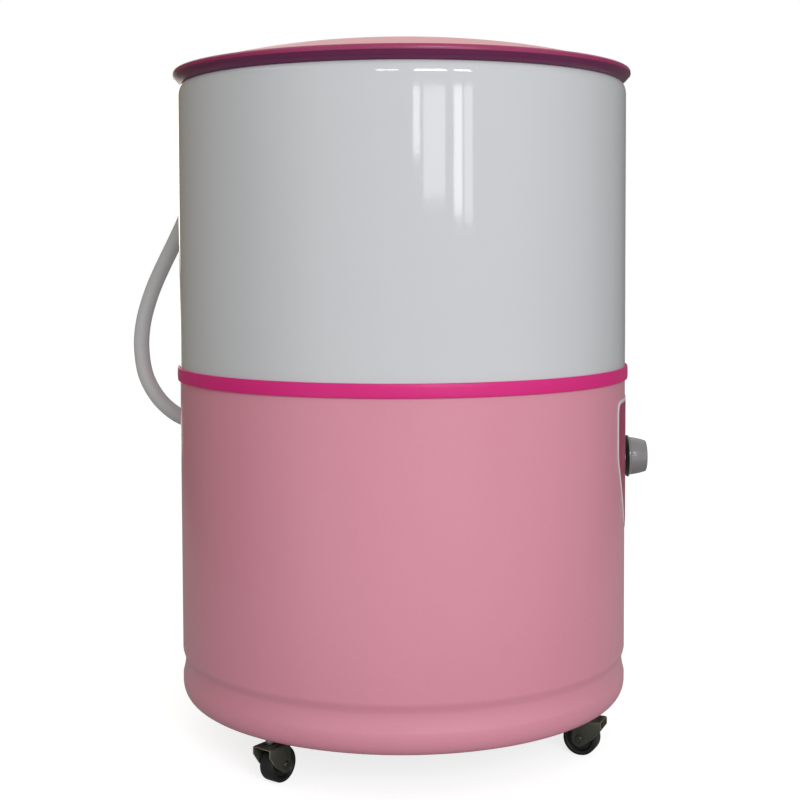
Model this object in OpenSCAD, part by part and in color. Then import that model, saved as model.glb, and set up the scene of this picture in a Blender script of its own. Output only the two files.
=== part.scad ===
// Round top-loading washing machine on four swivel casters.
// The origin is on the floor at the centre of the tub; the timer faces -Y and the hose hangs at the back.

/* [Body] */
// Outer diameter of the tub and of the skirt
body_d = 530; // [500:1:560]
// Thickness of the enamelled sheet
sheet_t = 1.2; // [0.8:0.1:2]
// Height of the skirt from its lower edge to the seam
skirt_h = 382.5; // [370:0.5:400]
// Height of the tub wall from the seam to the neck
tub_h = 337.7; // [300:0.1:380]
// How far the neck is drawn in from the wall
neck_in = 6.3; // [5:0.1:8]
// Height of the rounded shoulder under the neck
shoulder_h = 15; // [10:0.5:20]
// Height of the plain collar above the neck
collar_h = 10; // [8:0.5:11]
// Height of the tub floor above the seam
floor_rise = 15.5; // [12:0.5:20]
// Radius of the corner between tub floor and wall
corner_r = 30; // [20:1:40]
// How far the skirt's lower edge is drawn in
foot_in = 13; // [9:0.5:15]
// Height of the rounding at the skirt's lower edge
foot_h = 18; // [14:1:22]
// Width of the skirt's flange turned in at the bottom
flange_w = 30.5; // [28.5:0.5:36]
// Height of the rolled groove's lower end above the skirt's lower edge
groove_z = 25; // [23:1:40]
// Height of the rolled groove
groove_h = 33; // [33:1:50]
// Height of the groove's lower slope
groove_low = 19; // [12:1:20]
// Height of the groove's upper slope
groove_high = 13; // [8:1:13]
// Depth of the rolled groove
groove_depth = 3; // [1:0.1:4]
// Height of the strap ring inside the seam
seam_ring_h = 24; // [16:1:28]
// Thickness of the ring that stiffens the bottom flange
base_ring_t = 3; // [2:0.5:4]

/* [Trim band] */
// Height of the band over the seam
band_h = 15.5; // [10:0.5:20]
// Thickness of the band
band_t = 2; // [1:0.1:3]

/* [Rim and lid] */
// How far the rim's lip stands out from the tub wall
lip_out = 5.2; // [3:0.1:7]
// Height of the lip's lower corner above the neck
lip_low = 8; // [6:0.5:8]
// Height of the ridge above the neck
ridge_h = 11.5; // [10:0.5:12.5]
// Height of the rim's top above the neck
rim_h = 15.5; // [14.5:0.1:17]
// Thickness of the rim's inner wall
rim_wall = 2.5; // [1.5:0.1:4]
// How far the rim's inner wall reaches below the neck
rim_drop = 3; // [1:0.5:8]
// Width of the lip outside the lid's seat
lip_w = 7.9; // [6:0.1:9]
// Depth of the lid's seat
seat_depth = 2.2; // [1:0.1:2.5]
// Rise of the domed lid
lid_rise = 32; // [25:0.5:45]
// Power of the dome's curve, more is flatter in the middle
dome_power = 2.45; // [1.8:0.05:3.2]
// Thickness of the lid's shell
lid_t = 2.5; // [2:0.1:3.5]
// Thickness of the lid's edge on its seat
lid_edge_t = 1.2; // [0.8:0.1:2]
// Height of the lid's locating lip
lid_lip_h = 12; // [6:0.5:20]
// Diameter of the recess for the hand
recess_d = 124; // [100:1:150]
// Depth of the recess for the hand
recess_depth = 24; // [20:0.5:28]
// Width of the grip bar across the recess
grip_w = 26; // [18:1:34]
// Thickness of the grip bar
grip_t = 9; // [6:0.5:12]

/* [Pulsator] */
// Diameter of the pulsator
pulsator_d = 330; // [280:1:350]
// Thickness of the pulsator's plate
pulsator_t = 4; // [3:0.5:6]
// Gap between the tub floor and the pulsator
pulsator_gap = 8; // [7:0.5:12]
// Height of the pulsator's hub above its plate
hub_h = 52; // [46:1:70]
// Diameter of the pulsator's hub
hub_d = 70; // [60:1:80]
// Number of vanes
vane_count = 4; // [3:1:6]
// Thickness of a vane
vane_t = 10; // [6:0.5:14]
// Height of a vane at its outer end
vane_low = 12; // [8:1:18]
// Length of a vane's low outer part
vane_low_l = 55; // [40:1:70]

/* [Drive] */
// Diameter of the drive shaft
shaft_d = 16; // [12:0.5:18]
// Outer diameter of a bronze bush
bush_d = 24; // [22:0.5:26]
// Length of a bronze bush
bush_l = 20; // [14:1:24]
// Outer diameter of the shaft seal
seal_d = 32; // [29:0.5:33]
// Height of the shaft seal
seal_h = 8; // [6:0.5:9]
// Diameter of the housing's nose in the tub floor
nose_d = 39; // [37:0.5:44]
// How far the nose stands above the tub floor
nose_up = 5.8; // [4:0.2:6]
// Diameter of the housing's flange
housing_flange_d = 104; // [98:1:120]
// Thickness of the housing's flange
housing_flange_t = 7; // [5:0.5:10]
// Length of the housing below the tub floor
housing_l = 80; // [74:1:86]
// Diameter of the housing's barrel
housing_d = 52; // [46:1:58]
// Thickness of the housing gasket
gasket_t = 2; // [1:0.5:3]
// Circle of the housing bolts
housing_pcd = 84; // [80:1:86]
// Diameter of a housing bolt
housing_bolt_d = 6; // [5:0.5:7]
// Pitch diameter of the driven pulley
driven_d = 200; // [180:1:220]
// Pitch diameter of the motor pulley
pinion_d = 50; // [46:1:60]
// Distance between the drive shaft and the motor shaft
drive_centres = 160; // [156:1:164]
// Width of the belt
belt_w = 9; // [7:0.5:10]
// Depth of the belt
belt_depth = 6; // [5:0.5:7]
// Height of a pulley's rim
pulley_w = 16; // [15:0.5:18]
// Height of the driven pulley's hub above the belt
pulley_rise = 22; // [18:1:26]
// Wall of the driven pulley's hub
pulley_hub_t = 12; // [9:1:14]
// Depth of the driven pulley's rim inside the belt's line
pulley_rim_t = 14; // [12:1:18]
// Thickness of the driven pulley's web
pulley_web_t = 6; // [4:1:8]
// Diameter of the holes in the web
pulley_hole_d = 30; // [20:1:32]

/* [Motor] */
// Outer diameter of the motor
motor_d = 116; // [112:1:124]
// Height of the stator core
stator_h = 64; // [50:1:70]
// Height of an end bell
bell_h = 28; // [26:1:30]
// Wall of an end bell
bell_t = 3; // [2:0.5:4]
// Diameter of the rotor core
rotor_d = 68; // [60:1:70]
// Air gap between rotor and stator
air_gap = 1.2; // [0.8:0.1:2]
// Diameter of the motor shaft
motor_shaft_d = 12; // [10:0.5:14]
// Outer diameter of a motor bearing
motor_bearing_d = 28; // [26:0.5:30]
// Height of a motor bearing
motor_bearing_h = 9; // [7:0.5:10]
// Diameter of a through bolt
through_bolt_d = 5; // [4:0.5:6]
// Circle of the through bolts
through_pcd = 102; // [100:0.5:103]
// Diameter of the cooling fan
fan_d = 92; // [70:1:100]
// Height of the cooling fan
fan_h = 12; // [8:1:14]
// Distance from the motor pulley down to the fan's lower face
fan_drop = 18; // [16:1:24]
// Gap between the fan and the motor
fan_gap = 3; // [2:0.5:5]
// Side of the square motor bracket
bracket_side = 156; // [150:1:170]
// Thickness of the motor bracket
bracket_t = 4; // [3:0.5:5]
// Distance of each beam from the middle
beam_y = 63; // [61:1:68]
// Width of a beam
beam_w = 30; // [24:1:34]
// Height of a beam
beam_h = 20; // [16:1:26]
// Sheet of a beam and a fork
steel_t = 2; // [1.5:0.1:2.2]
// Diameter of the run capacitor
capacitor_d = 38; // [30:1:42]
// Height of the run capacitor
capacitor_h = 72; // [60:1:80]

/* [Timer] */
// Distance of the timer's middle below the control plate's middle
timer_drop = 0.5; // [0:0.5:12]
// Width and height of the timer
timer_side = 60; // [54:1:64]
// Depth of the timer
timer_depth = 42; // [34:1:50]
// Diameter of the timer's shaft
timer_shaft_d = 6; // [5:0.5:8]
// Distance between the timer screws
timer_screw_gap = 30; // [28:1:34]
// Diameter of the knob's flange
knob_flange_d = 50; // [49:0.5:54]
// Diameter of the knob where it meets the flange
knob_base_d = 45; // [40:0.5:46]
// Diameter of the knob's face
knob_face_d = 38.5; // [34:0.5:39.5]
// Length of the knob
knob_l = 23.5; // [20:0.5:32]
// Gap between the control plate and the knob
knob_gap = 3.8; // [3:0.1:6]
// Width of the control plate, measured round the skirt
plate_w = 212; // [180:1:240]
// Height of the control plate
plate_h = 153; // [140:1:160]
// Radius of the control plate's upper corners
plate_top_r = 13; // [5:1:25]
// Height of the control plate's upper part, down to where its sides start to lean in
plate_side_h = 65; // [50:1:80]
// Width of the control plate across its lower corners
plate_low_w = 140; // [100:1:180]
// Radius of the control plate's lower corners
plate_low_r = 20; // [10:1:30]
// Thickness of the control plate
plate_t = 0.8; // [0.5:0.1:1.5]
// Gap between the trim band and the control plate
plate_gap = 21.1; // [12:0.1:26]

/* [Casters] */
// Diameter of a caster wheel
wheel_d = 40; // [36:1:44]
// Width of a caster wheel
wheel_w = 19.5; // [14:0.5:20]
// Diameter of a wheel's axle
axle_d = 6; // [5:0.5:7]
// Distance from the swivel pin to the axle
caster_trail = 12; // [11:0.5:15]
// How far the fork reaches ahead of its pin
fork_nose = 14; // [11:0.5:16]
// Outer width of a fork
fork_w = 26; // [25:0.5:30]
// Gap between the wheel and the fork's top
fork_clear = 1.5; // [1.4:0.1:3]
// Radius of the fork's lobe round the axle
fork_lobe_r = 8.5; // [7:0.5:9.5]
// Diameter of a swivel pin
stem_d = 7; // [6:0.5:8]
// Diameter of a swivel pin's collar
collar_d = 10; // [9:0.5:16]
// Height of a swivel pin's collar
collar_l = 10.1; // [6:0.1:14]
// Distance of the swivel pins inside the skirt's lower edge
caster_inset = 13; // [11.5:0.5:15.5]
// Angle of each front caster from the front
front_caster_angle = 25.3; // [20:0.1:32]
// Angle of each rear caster from the back
rear_caster_angle = 52.5; // [46:0.5:58]

/* [Drain and cord inlet] */
// Outer diameter of the drain hose
hose_d = 20; // [19:0.5:22]
// Diameter of the barbed outlet
spigot_d = 17; // [15:0.5:18]
// Wall of the outlet and the elbow stub
spigot_t = 2; // [1.5:0.1:3]
// Diameter of the outlet's flange
spigot_flange_d = 38; // [34:1:44]
// How far the outlet stands out of the skirt
spigot_out = 27; // [24:1:34]
// How far the outlet reaches into the skirt
spigot_in = 22; // [20:1:26]
// Height of the outlet above the skirt's lower edge
outlet_rise = 306; // [300:1:312]
// Angle of the outlet from the right side, towards the back
outlet_angle = 68; // [66:1:70]
// Distance of the drain hole inside the body's wall
drain_inset = 60; // [57:1:65]
// Outer diameter of the drain's threaded tube
drain_tube_d = 30; // [26:1:32]
// Length of the threaded tube below the tub floor
drain_tube_l = 22; // [16:1:28]
// Depth of the elbow below the outlet's middle
elbow_drop = 18; // [15:1:24]
// Length of the elbow's stub from the drain's middle
elbow_stub_l = 26; // [24:1:30]
// Diameter of the strainer's flange
strainer_d = 52; // [46:1:54]
// Wall of the drain's tubes
drain_wall = 3; // [2:0.5:4]
// Diameter of the cuff at the hose's end
cuff_d = 26; // [25:0.5:30]
// Length of the cuff
cuff_l = 40; // [34:1:50]
// Bore of the cuff
cuff_bore = 17; // [14:0.5:18]
// Width of the hose hook
hook_w = 14; // [10:1:16]
// Thickness of the hose hook
hook_t = 3; // [2:0.5:4]
// Height of the cord inlet above the skirt's lower edge
gland_rise = 88; // [84:1:110]
// Angle of the cord inlet from the right side, towards the back
gland_angle = 60; // [52:1:64]
// Bore of the cord inlet
gland_bore = 8.4; // [7:0.1:10]

/* [Hidden] */
$fn = 96;

// Clearances: between moving bodies, round a turning shaft, and in a bolt hole
body_gap = 0.3;
run_gap = 0.04;
bolt_gap = 0.3;
slot_gap = 0.2;
// Extra length of a cutting shape past the face it cuts
cut = 1;
// Largest reach needed by a shape that is cut to the round wall
far = 2 * body_d;
// Fineness of a thin piece that follows the round wall
wall_fn = 360;

// Heights above the floor
fork_top = wheel_d + fork_clear + steel_t;
base_z = fork_top + body_gap + collar_l;
seam_z = base_z + skirt_h;
neck_z = seam_z + tub_h;
floor_z = seam_z + floor_rise;
floor_top = floor_z + sheet_t;
rim_top = neck_z + rim_h;
seat_z = rim_top - seat_depth;
plate_z = seam_z - band_h / 2 - plate_gap - plate_h / 2;
timer_z = plate_z - timer_drop;
outlet_z = base_z + outlet_rise;
gland_z = base_z + gland_rise;

// Radii of the body
body_r = body_d / 2;
inner_r = body_r - sheet_t;
foot_r = body_r - foot_in;
flange_r = foot_r - flange_w;
neck_r = body_r - neck_in;
lip_r = body_r + lip_out;
seat_r = lip_r - lip_w;
opening_r = neck_r - sheet_t - slot_gap - rim_wall;
lid_r = seat_r - body_gap - slot_gap;
lid_base = seat_z + body_gap + lid_edge_t;
recess_r = recess_d / 2;

// Drive heights
gasket_z = floor_z - gasket_t;
housing_flange_z = gasket_z - housing_flange_t;
housing_z = floor_z - housing_l;
nose_top = floor_top + nose_up;
seal_z = nose_top - seal_h;
shaft_r = shaft_d / 2;
pulsator_z = floor_top + pulsator_gap;
plate_top = pulsator_z + pulsator_t;
hub_top = plate_top + hub_h;
hub_recess = 8;
shaft_top = hub_top - hub_recess - 6;
pulley_hub_top = housing_z - body_gap;
belt_z = pulley_hub_top - pulley_rise;
pulley_hub_z = belt_z - pulley_w / 2 - 4;
nut_h = 8;

// Motor heights, set from the belt's height down
fan_z = belt_z - pulley_w / 2 - fan_drop;
motor_top = fan_z - fan_gap;
stator_z = motor_top - bell_h - stator_h;
motor_z = stator_z - bell_h;
bracket_z = motor_z - bracket_t;
beam_z = bracket_z - beam_h;
motor_r = motor_d / 2;
rotor_r = rotor_d / 2;
motor_shaft_r = motor_shaft_d / 2;
winding_in = rotor_r + air_gap + 3;
winding_out = through_pcd / 2 - through_bolt_d / 2 - 1.5;

// Timer and knob, measured out from the middle along -Y
knob_y = body_r + plate_t + knob_gap;
knob_end = knob_y + knob_l;
timer_back = body_r - timer_depth - 8;

// Casters
caster_circle_r = foot_r - caster_inset;
fork_in = fork_w - 2 * steel_t;
stem_r = stem_d / 2;
caster_angles = [
    270 - front_caster_angle, 90 + rear_caster_angle,
    90 - rear_caster_angle, 270 + front_caster_angle
];

// Drain
drain_r = body_r - drain_inset;
drain_z = outlet_z - elbow_drop;
spigot_end = body_r + spigot_out;
stub_end = drain_r + elbow_stub_l;
spigot_start = body_r - spigot_in;
hose_r = hose_d / 2;

// Route of the drain hose from its outlet: angle round the body, distance out from the wall, height.
// It leaves the outlet, stands out in one wide bend, passes over the hook and hangs down behind.
hose_route = [
    [0, 5, 0], [0, 18.5, 0.5], [0, 34, 3.5], [0, 53.5, 11.5], [0, 73, 26],
    [0, 88, 45], [0, 97, 65.5], [0, 101, 92], [0, 100, 113], [0, 96, 134],
    [0, 89, 155], [0, 80, 176], [0, 69, 197], [0, 57, 218], [0, 45, 239],
    [-0.5, 35, 261], [-1.5, 30.5, 281.5], [-4, 24.5, 304], [-7, 20.5, 319], [-11, 18.5, 331],
    [-15.5, 16.5, 338], [-20.5, 16, 339], [-25.5, 16, 333.5], [-29.5, 17.5, 323], [-33, 19, 307.5],
    [-35.5, 19.5, 290], [-37, 20, 272.5], [-38, 19.5, 252], [-38.5, 19, 230], [-38, 17, 200],
    [-38, 16, 170], [-38, 16, 125], [-38, 16, 80], [-38, 16, 35], [-38, 16, -15]
];
hose_line = [for (p = hose_route) [outlet_angle + p[0], body_r + p[1], outlet_z + p[2]]];
hose_foot = hose_line[len(hose_line) - 1];
hose_crest = (hose_line[20] + hose_line[21]) / 2;

// Routes of the two inner cables, in x, y and z: cord inlet to motor, and timer to motor.
// Each is stretched a little so that it meets what it joins.
inlet_cable = [
    [125, 216, 142], [120, 208, 142], [109, 204, 143], [90, 215, 146], [60, 228, 152],
    [25, 236, 158], [-15, 236, 163], [-55, 228, 167], [-90, 210, 172], [-120, 180, 178],
    [-142, 145, 186], [-154, 110, 200], [-159, 88, 214], [-160, 72, 222], [-160, 58, 224]
];
timer_cable = [
    [0, -232, 302], [0, -232, 285], [-6, -231, 268], [-24, -227, 250], [-54, -212, 236],
    [-90, -186, 226], [-120, -155, 221], [-142, -122, 219], [-155, -95, 220], [-160, -75, 223],
    [-160, -58, 224]
];
cable_r = 4;
cable_entry_z = stator_z - cable_r - 0.6;

// Points on an arc in the plane of a profile
function arc(cx, cy, r, a0, a1, n = 8) =
    [for (i = [0:n]) let (a = a0 + (a1 - a0) * i / n) [cx + r * cos(a), cy + r * sin(a)]];
function reversed(v) = [for (i = [len(v) - 1:-1:0]) v[i]];

// Height of the lid's outer face at a distance from the middle
function dome_z(r) = lid_base + lid_rise * (1 - pow(r / lid_r, dome_power));

// One turn round the body, then out along the radius
module at_polar(angle, r, z) {
    rotate([0, 0, angle])
        translate([r, 0, z])
            children();
}

// A rod along the radius between two distances from the middle
module radial_rod(angle, z, r, from, to) {
    rotate([0, 0, angle])
        translate([from, 0, z])
            rotate([0, 90, 0])
                cylinder(r = r, h = to - from);
}

module ring(r_in, r_out, z, h, fn = 96) {
    translate([0, 0, z])
        difference() {
            cylinder(r = r_out, h = h, $fn = fn);
            translate([0, 0, -cut])
                cylinder(r = r_in, h = h + 2 * cut, $fn = fn);
        }
}

// The space inside or outside the round wall, for pieces that lie against it
module round_wall(r) {
    cylinder(r = r, h = far, $fn = wall_fn);
}

// Tub

// The rounded shoulder, offset inwards by a wall
function shoulder(wall) = [
    for (i = [0:6])
        let (t = 90 * i / 6)
        [neck_r - wall + neck_in * cos(t), neck_z - shoulder_h + shoulder_h * sin(t)]
];

module wash_tub() {
    pan_z = floor_top + corner_r;
    pan_r = inner_r - corner_r;
    pan_out = corner_r + sheet_t;
    meet = -acos(corner_r / pan_out);
    color("whitesmoke")
        difference() {
            rotate_extrude()
                polygon(concat(
                    [[inner_r, seam_z], [body_r, seam_z]],
                    shoulder(0),
                    [[neck_r, neck_z + collar_h], [neck_r - sheet_t, neck_z + collar_h]],
                    reversed(shoulder(sheet_t)),
                    arc(pan_r, pan_z, corner_r, 0, -90),
                    [[nose_d / 2 + slot_gap, floor_top], [nose_d / 2 + slot_gap, floor_z]],
                    arc(pan_r, pan_z, pan_out, -90, meet)
                ));
            bolt_holes();
            at_polar(outlet_angle, drain_r, floor_z - cut)
                cylinder(r = drain_tube_d / 2 + slot_gap, h = sheet_t + 2 * cut);
        }
}

// Clearance holes for the housing bolts through floor, gasket and flange
module bolt_holes() {
    for (a = [45:90:315])
        at_polar(a, housing_pcd / 2, housing_flange_z - cut)
            cylinder(r = housing_bolt_d / 2 + bolt_gap, h = floor_top - housing_flange_z + 2 * cut);
}

module seam_ring() {
    color("silver")
        ring(inner_r - sheet_t, inner_r, seam_z - seam_ring_h / 2, seam_ring_h);
}

// Skirt

// The rounded lower edge, a quarter of an ellipse
function foot(wall) = [
    for (i = [0:8])
        let (t = 90 * i / 8)
        [foot_r + (foot_in - wall) * sin(t), base_z + wall + (foot_h - wall) * (1 - cos(t))]
];

// The rolled groove: a long lower slope that starts at a crest, and a short upper slope
function groove(wall) = concat(
    [
        for (i = [0:6])
            [body_r - wall - groove_depth * sin(15 * i), base_z + groove_z + groove_low * i / 6]
    ],
    [
        for (i = [6:-1:0])
            let (dip = groove_depth * (1 - cos(30 * i)) / 2)
            [body_r - wall - dip, base_z + groove_z + groove_h - groove_high * i / 6]
    ]
);

module lower_skirt() {
    color("palevioletred")
        difference() {
            rotate_extrude()
                polygon(concat(
                    [[flange_r, base_z]],
                    foot(0),
                    groove(0),
                    [[body_r, seam_z], [inner_r, seam_z]],
                    reversed(groove(sheet_t)),
                    reversed(foot(sheet_t)),
                    [[flange_r, base_z + sheet_t]]
                ));
            stem_holes(base_z);
            radial_rod(270, timer_z, timer_shaft_d, inner_r - 2 * cut, body_r + cut);
            timer_screw_holes();
            radial_rod(outlet_angle, outlet_z, spigot_d / 2 + slot_gap, inner_r - cut, body_r + cut);
            radial_rod(gland_angle, gland_z, gland_r, inner_r - cut, body_r + cut);
        }
}

module trim_band() {
    color("mediumvioletred")
        ring(body_r, body_r + band_t, seam_z - band_h / 2, band_h);
}

module base_ring() {
    color("dimgray")
        difference() {
            ring(flange_r, foot_r - base_ring_t, base_z + sheet_t, base_ring_t);
            stem_holes(base_z + sheet_t);
        }
}

module stem_holes(z) {
    for (a = caster_angles)
        at_polar(a, caster_circle_r, z - cut)
            cylinder(r = stem_r + bolt_gap, h = base_ring_t + 2 * cut);
}

// Rim and lid

module rim_ring() {
    round_r = rim_h - ridge_h;
    slot_in = neck_r - sheet_t - slot_gap;
    slot_out = neck_r + slot_gap;
    color("mediumvioletred")
        rotate_extrude()
            polygon(concat(
                [
                    [slot_out, neck_z], [lip_r - 1, neck_z + lip_low],
                    [lip_r, neck_z + lip_low + 1.5]
                ],
                arc(lip_r - round_r, neck_z + ridge_h, round_r, 0, 90),
                [
                    [seat_r, rim_top], [seat_r, seat_z], [opening_r, seat_z],
                    [opening_r, neck_z - rim_drop], [slot_in, neck_z - rim_drop],
                    [slot_in, neck_z + collar_h], [slot_out, neck_z + collar_h]
                ]
            ));
}

lid_lip_r = opening_r - body_gap - slot_gap;
lid_lip_in = lid_lip_r - lid_t;
recess_top = dome_z(recess_r);
recess_floor = recess_top - recess_depth;

module lid() {
    steps = 14;
    under_r = recess_r + lid_t;
    color("lightpink")
        rotate_extrude()
            polygon(concat(
                [[0, recess_floor], [recess_r, recess_floor]],
                [for (i = [0:steps]) let (r = recess_r + (lid_r - recess_r) * i / steps) [r, dome_z(r)]],
                [
                    [lid_r, seat_z + body_gap], [lid_lip_r, seat_z + body_gap],
                    [lid_lip_r, seat_z + body_gap - lid_lip_h],
                    [lid_lip_in, seat_z + body_gap - lid_lip_h]
                ],
                [
                    for (i = [0:steps])
                        let (r = lid_lip_in + (under_r - lid_lip_in) * i / steps)
                        [r, dome_z(r) - lid_t]
                ],
                [[under_r, recess_floor - lid_t], [0, recess_floor - lid_t]]
            ));
}

module lid_grip() {
    color("lightpink")
        intersection() {
            translate([0, 0, recess_top - grip_t - 1])
                cylinder(r = recess_r, h = grip_t);
            translate([-far, -grip_w / 2, recess_top - grip_t - 2])
                cube([2 * far, grip_w, grip_t + 2]);
        }
}

// Pulsator and drive shaft

module pulsator() {
    hub_r = hub_d / 2;
    rim_r = pulsator_d / 2;
    color("white")
        difference() {
            union() {
                rotate_extrude()
                    polygon([
                        [0, pulsator_z], [rim_r, pulsator_z], [rim_r, plate_top + vane_low / 2],
                        [rim_r - 4, plate_top + vane_low / 2], [rim_r - 8, plate_top],
                        [hub_r + 12, plate_top], [hub_r + 3, plate_top + 10],
                        [hub_r - 5, hub_top - 6], [hub_r - 10, hub_top], [0, hub_top]
                    ]);
                for (i = [0:vane_count - 1])
                    rotate([0, 0, 360 * i / vane_count])
                        translate([0, vane_t / 2, 0])
                            rotate([90, 0, 0])
                                linear_extrude(height = vane_t)
                                    polygon([
                                        [hub_r - 12, plate_top - 1], [rim_r - 5, plate_top - 1],
                                        [rim_r - 10, plate_top + vane_low],
                                        [rim_r - vane_low_l, plate_top + 2 * vane_low],
                                        [hub_r + 8, hub_top - 14], [hub_r - 12, hub_top - 8]
                                    ]);
            }
            translate([0, 0, pulsator_z - cut])
                cylinder(r = shaft_r, h = shaft_top - pulsator_z + cut);
            translate([0, 0, hub_top - hub_recess])
                cylinder(r = screw_head_r + slot_gap, h = hub_recess + cut);
            cylinder(r = screw_r, h = hub_top);
        }
}

screw_r = 3;
screw_head_r = 12;
screw_l = 20;

module pulsator_screw() {
    color("silver") {
        translate([0, 0, hub_top - hub_recess])
            cylinder(r = screw_head_r, h = hub_recess - 2);
        translate([0, 0, shaft_top - screw_l])
            cylinder(r = screw_r, h = screw_l + hub_recess);
    }
}

module drive_shaft() {
    color("silver")
        difference() {
            translate([0, 0, pulley_hub_z - nut_h - 4])
                cylinder(r = shaft_r, h = shaft_top - pulley_hub_z + nut_h + 4);
            translate([0, 0, shaft_top - screw_l])
                cylinder(r = screw_r, h = screw_l + cut);
        }
}

// Half section of a grooved pulley rim about the belt's middle height
function vee(pitch_r, from) = [
    [from, belt_z + pulley_w / 2],
    [pitch_r + belt_depth / 2 + 2, belt_z + pulley_w / 2],
    [pitch_r + belt_depth / 2 + 2, belt_z + belt_w / 2 + 2],
    [pitch_r - belt_depth / 2 - 1.5, belt_z + belt_w / 2 + 0.5],
    [pitch_r - belt_depth / 2 - 1.5, belt_z - belt_w / 2 - 0.5],
    [pitch_r + belt_depth / 2 + 2, belt_z - belt_w / 2 - 2],
    [pitch_r + belt_depth / 2 + 2, belt_z - pulley_w / 2],
    [from, belt_z - pulley_w / 2]
];

module driven_pulley() {
    hub_r = shaft_r + pulley_hub_t;
    rim_in = driven_d / 2 - pulley_rim_t;
    web = pulley_web_t / 2;
    color("lightgray")
        difference() {
            rotate_extrude()
                polygon(concat(
                    [
                        [shaft_r, pulley_hub_z], [shaft_r, pulley_hub_top], [hub_r, pulley_hub_top],
                        [hub_r, belt_z + web], [rim_in, belt_z + web]
                    ],
                    vee(driven_d / 2, rim_in),
                    [[rim_in, belt_z - web], [hub_r, belt_z - web], [hub_r, pulley_hub_z]]
                ));
            for (a = [30:60:330])
                at_polar(a, (hub_r + rim_in) / 2, belt_z - web - cut)
                    cylinder(r = pulley_hole_d / 2, h = pulley_web_t + 2 * cut);
        }
}

module pulley_nut() {
    color("silver")
        translate([0, 0, pulley_hub_z - nut_h])
            difference() {
                cylinder(r = shaft_r * 1.7, h = nut_h, $fn = 6);
                translate([0, 0, -cut])
                    cylinder(r = shaft_r, h = nut_h + 2 * cut);
            }
}

module bearing_housing() {
    barrel_r = housing_d / 2;
    nose_r = nose_d / 2;
    flange = housing_flange_d / 2;
    bush_r = bush_d / 2;
    color("lightsteelblue")
        difference() {
            union() {
                rotate_extrude()
                    polygon([
                        [bush_r, housing_z], [barrel_r, housing_z], [barrel_r, housing_flange_z - 6],
                        [barrel_r + 6, housing_flange_z], [flange, housing_flange_z],
                        [flange, gasket_z], [nose_r, gasket_z], [nose_r, nose_top],
                        [seal_d / 2, nose_top], [seal_d / 2, seal_z], [bush_r, seal_z],
                        [bush_r, seal_z - bush_l], [shaft_r + 1.5, seal_z - bush_l],
                        [shaft_r + 1.5, housing_z + bush_l], [bush_r, housing_z + bush_l]
                    ]);
                for (a = [0:90:270])
                    rotate([0, 0, a])
                        translate([0, rib_t / 2, 0])
                            rotate([90, 0, 0])
                                linear_extrude(height = rib_t)
                                    polygon([
                                        [barrel_r - 2, housing_z + 12], [barrel_r + 2, housing_z + 12],
                                        [flange - 6, housing_flange_z + 1], [barrel_r - 2, housing_flange_z + 1]
                                    ]);
            }
            bolt_holes();
        }
}
rib_t = 5;

module housing_gasket() {
    color("black")
        difference() {
            ring(nose_d / 2 + slot_gap, housing_flange_d / 2 - 1, gasket_z, gasket_t);
            bolt_holes();
        }
}

// Four bolts with their nuts, heads inside the tub
module housing_bolts() {
    bolt_r = housing_bolt_d / 2;
    head_h = 4;
    color("silver")
        for (a = [45:90:315])
            at_polar(a, housing_pcd / 2, 0) {
                translate([0, 0, housing_flange_z - 8])
                    cylinder(r = bolt_r, h = floor_top - housing_flange_z + 8);
                translate([0, 0, floor_top])
                    cylinder(r = bolt_r * 1.8, h = head_h);
                translate([0, 0, housing_flange_z - 5])
                    cylinder(r = bolt_r * 1.8, h = 5, $fn = 6);
            }
}

module shaft_bushes() {
    color("goldenrod") {
        ring(shaft_r + run_gap, bush_d / 2, housing_z, bush_l);
        ring(shaft_r + run_gap, bush_d / 2, seal_z - bush_l, bush_l);
    }
}

module shaft_seal() {
    color("black")
        ring(shaft_r + run_gap, seal_d / 2, seal_z, seal_h);
}

// Belt drive

module drive_belt() {
    color("black")
        translate([0, 0, belt_z - belt_w / 2])
            linear_extrude(height = belt_w)
                difference() {
                    belt_line(belt_depth / 2);
                    belt_line(-belt_depth / 2);
                }
}

// Outline of the belt at a depth from its pitch line
module belt_line(out) {
    hull() {
        circle(r = driven_d / 2 + out);
        translate([-drive_centres, 0])
            circle(r = pinion_d / 2 + out);
    }
}

module at_motor() {
    translate([-drive_centres, 0, 0])
        children();
}

module motor_pulley() {
    color("lightgray")
        at_motor()
            rotate_extrude()
                polygon(vee(pinion_d / 2, motor_shaft_r));
}

module motor_rotor() {
    core_gap = 4;
    color("gray")
        at_motor() {
            translate([0, 0, stator_z + core_gap])
                cylinder(r = rotor_r, h = stator_h - 2 * core_gap);
            translate([0, 0, motor_z + bell_t])
                cylinder(r = motor_shaft_r, h = belt_z + pulley_w / 2 + 3 - motor_z - bell_t);
        }
}

module motor_fan() {
    blade_t = 2;
    color("black")
        at_motor()
            difference() {
                union() {
                    translate([0, 0, fan_z])
                        cylinder(r = motor_shaft_r + 6, h = fan_h);
                    translate([0, 0, fan_z])
                        cylinder(r = fan_d / 2 - 4, h = blade_t);
                    for (a = [0:45:315])
                        rotate([0, 0, a])
                            translate([motor_shaft_r + 3, -blade_t / 2, fan_z])
                                cube([fan_d / 2 - motor_shaft_r - 3, blade_t, fan_h]);
                }
                translate([0, 0, fan_z - cut])
                    cylinder(r = motor_shaft_r, h = fan_h + 2 * cut);
            }
}

module through_holes() {
    for (a = [45:90:315])
        at_polar(a, through_pcd / 2, bracket_z - cut)
            cylinder(r = through_bolt_d / 2 + bolt_gap, h = motor_top - bracket_z + 2 * cut);
}

module motor_stator() {
    color("dimgray")
        at_motor()
            difference() {
                ring(rotor_r + air_gap, motor_r, stator_z, stator_h);
                through_holes();
            }
}

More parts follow.
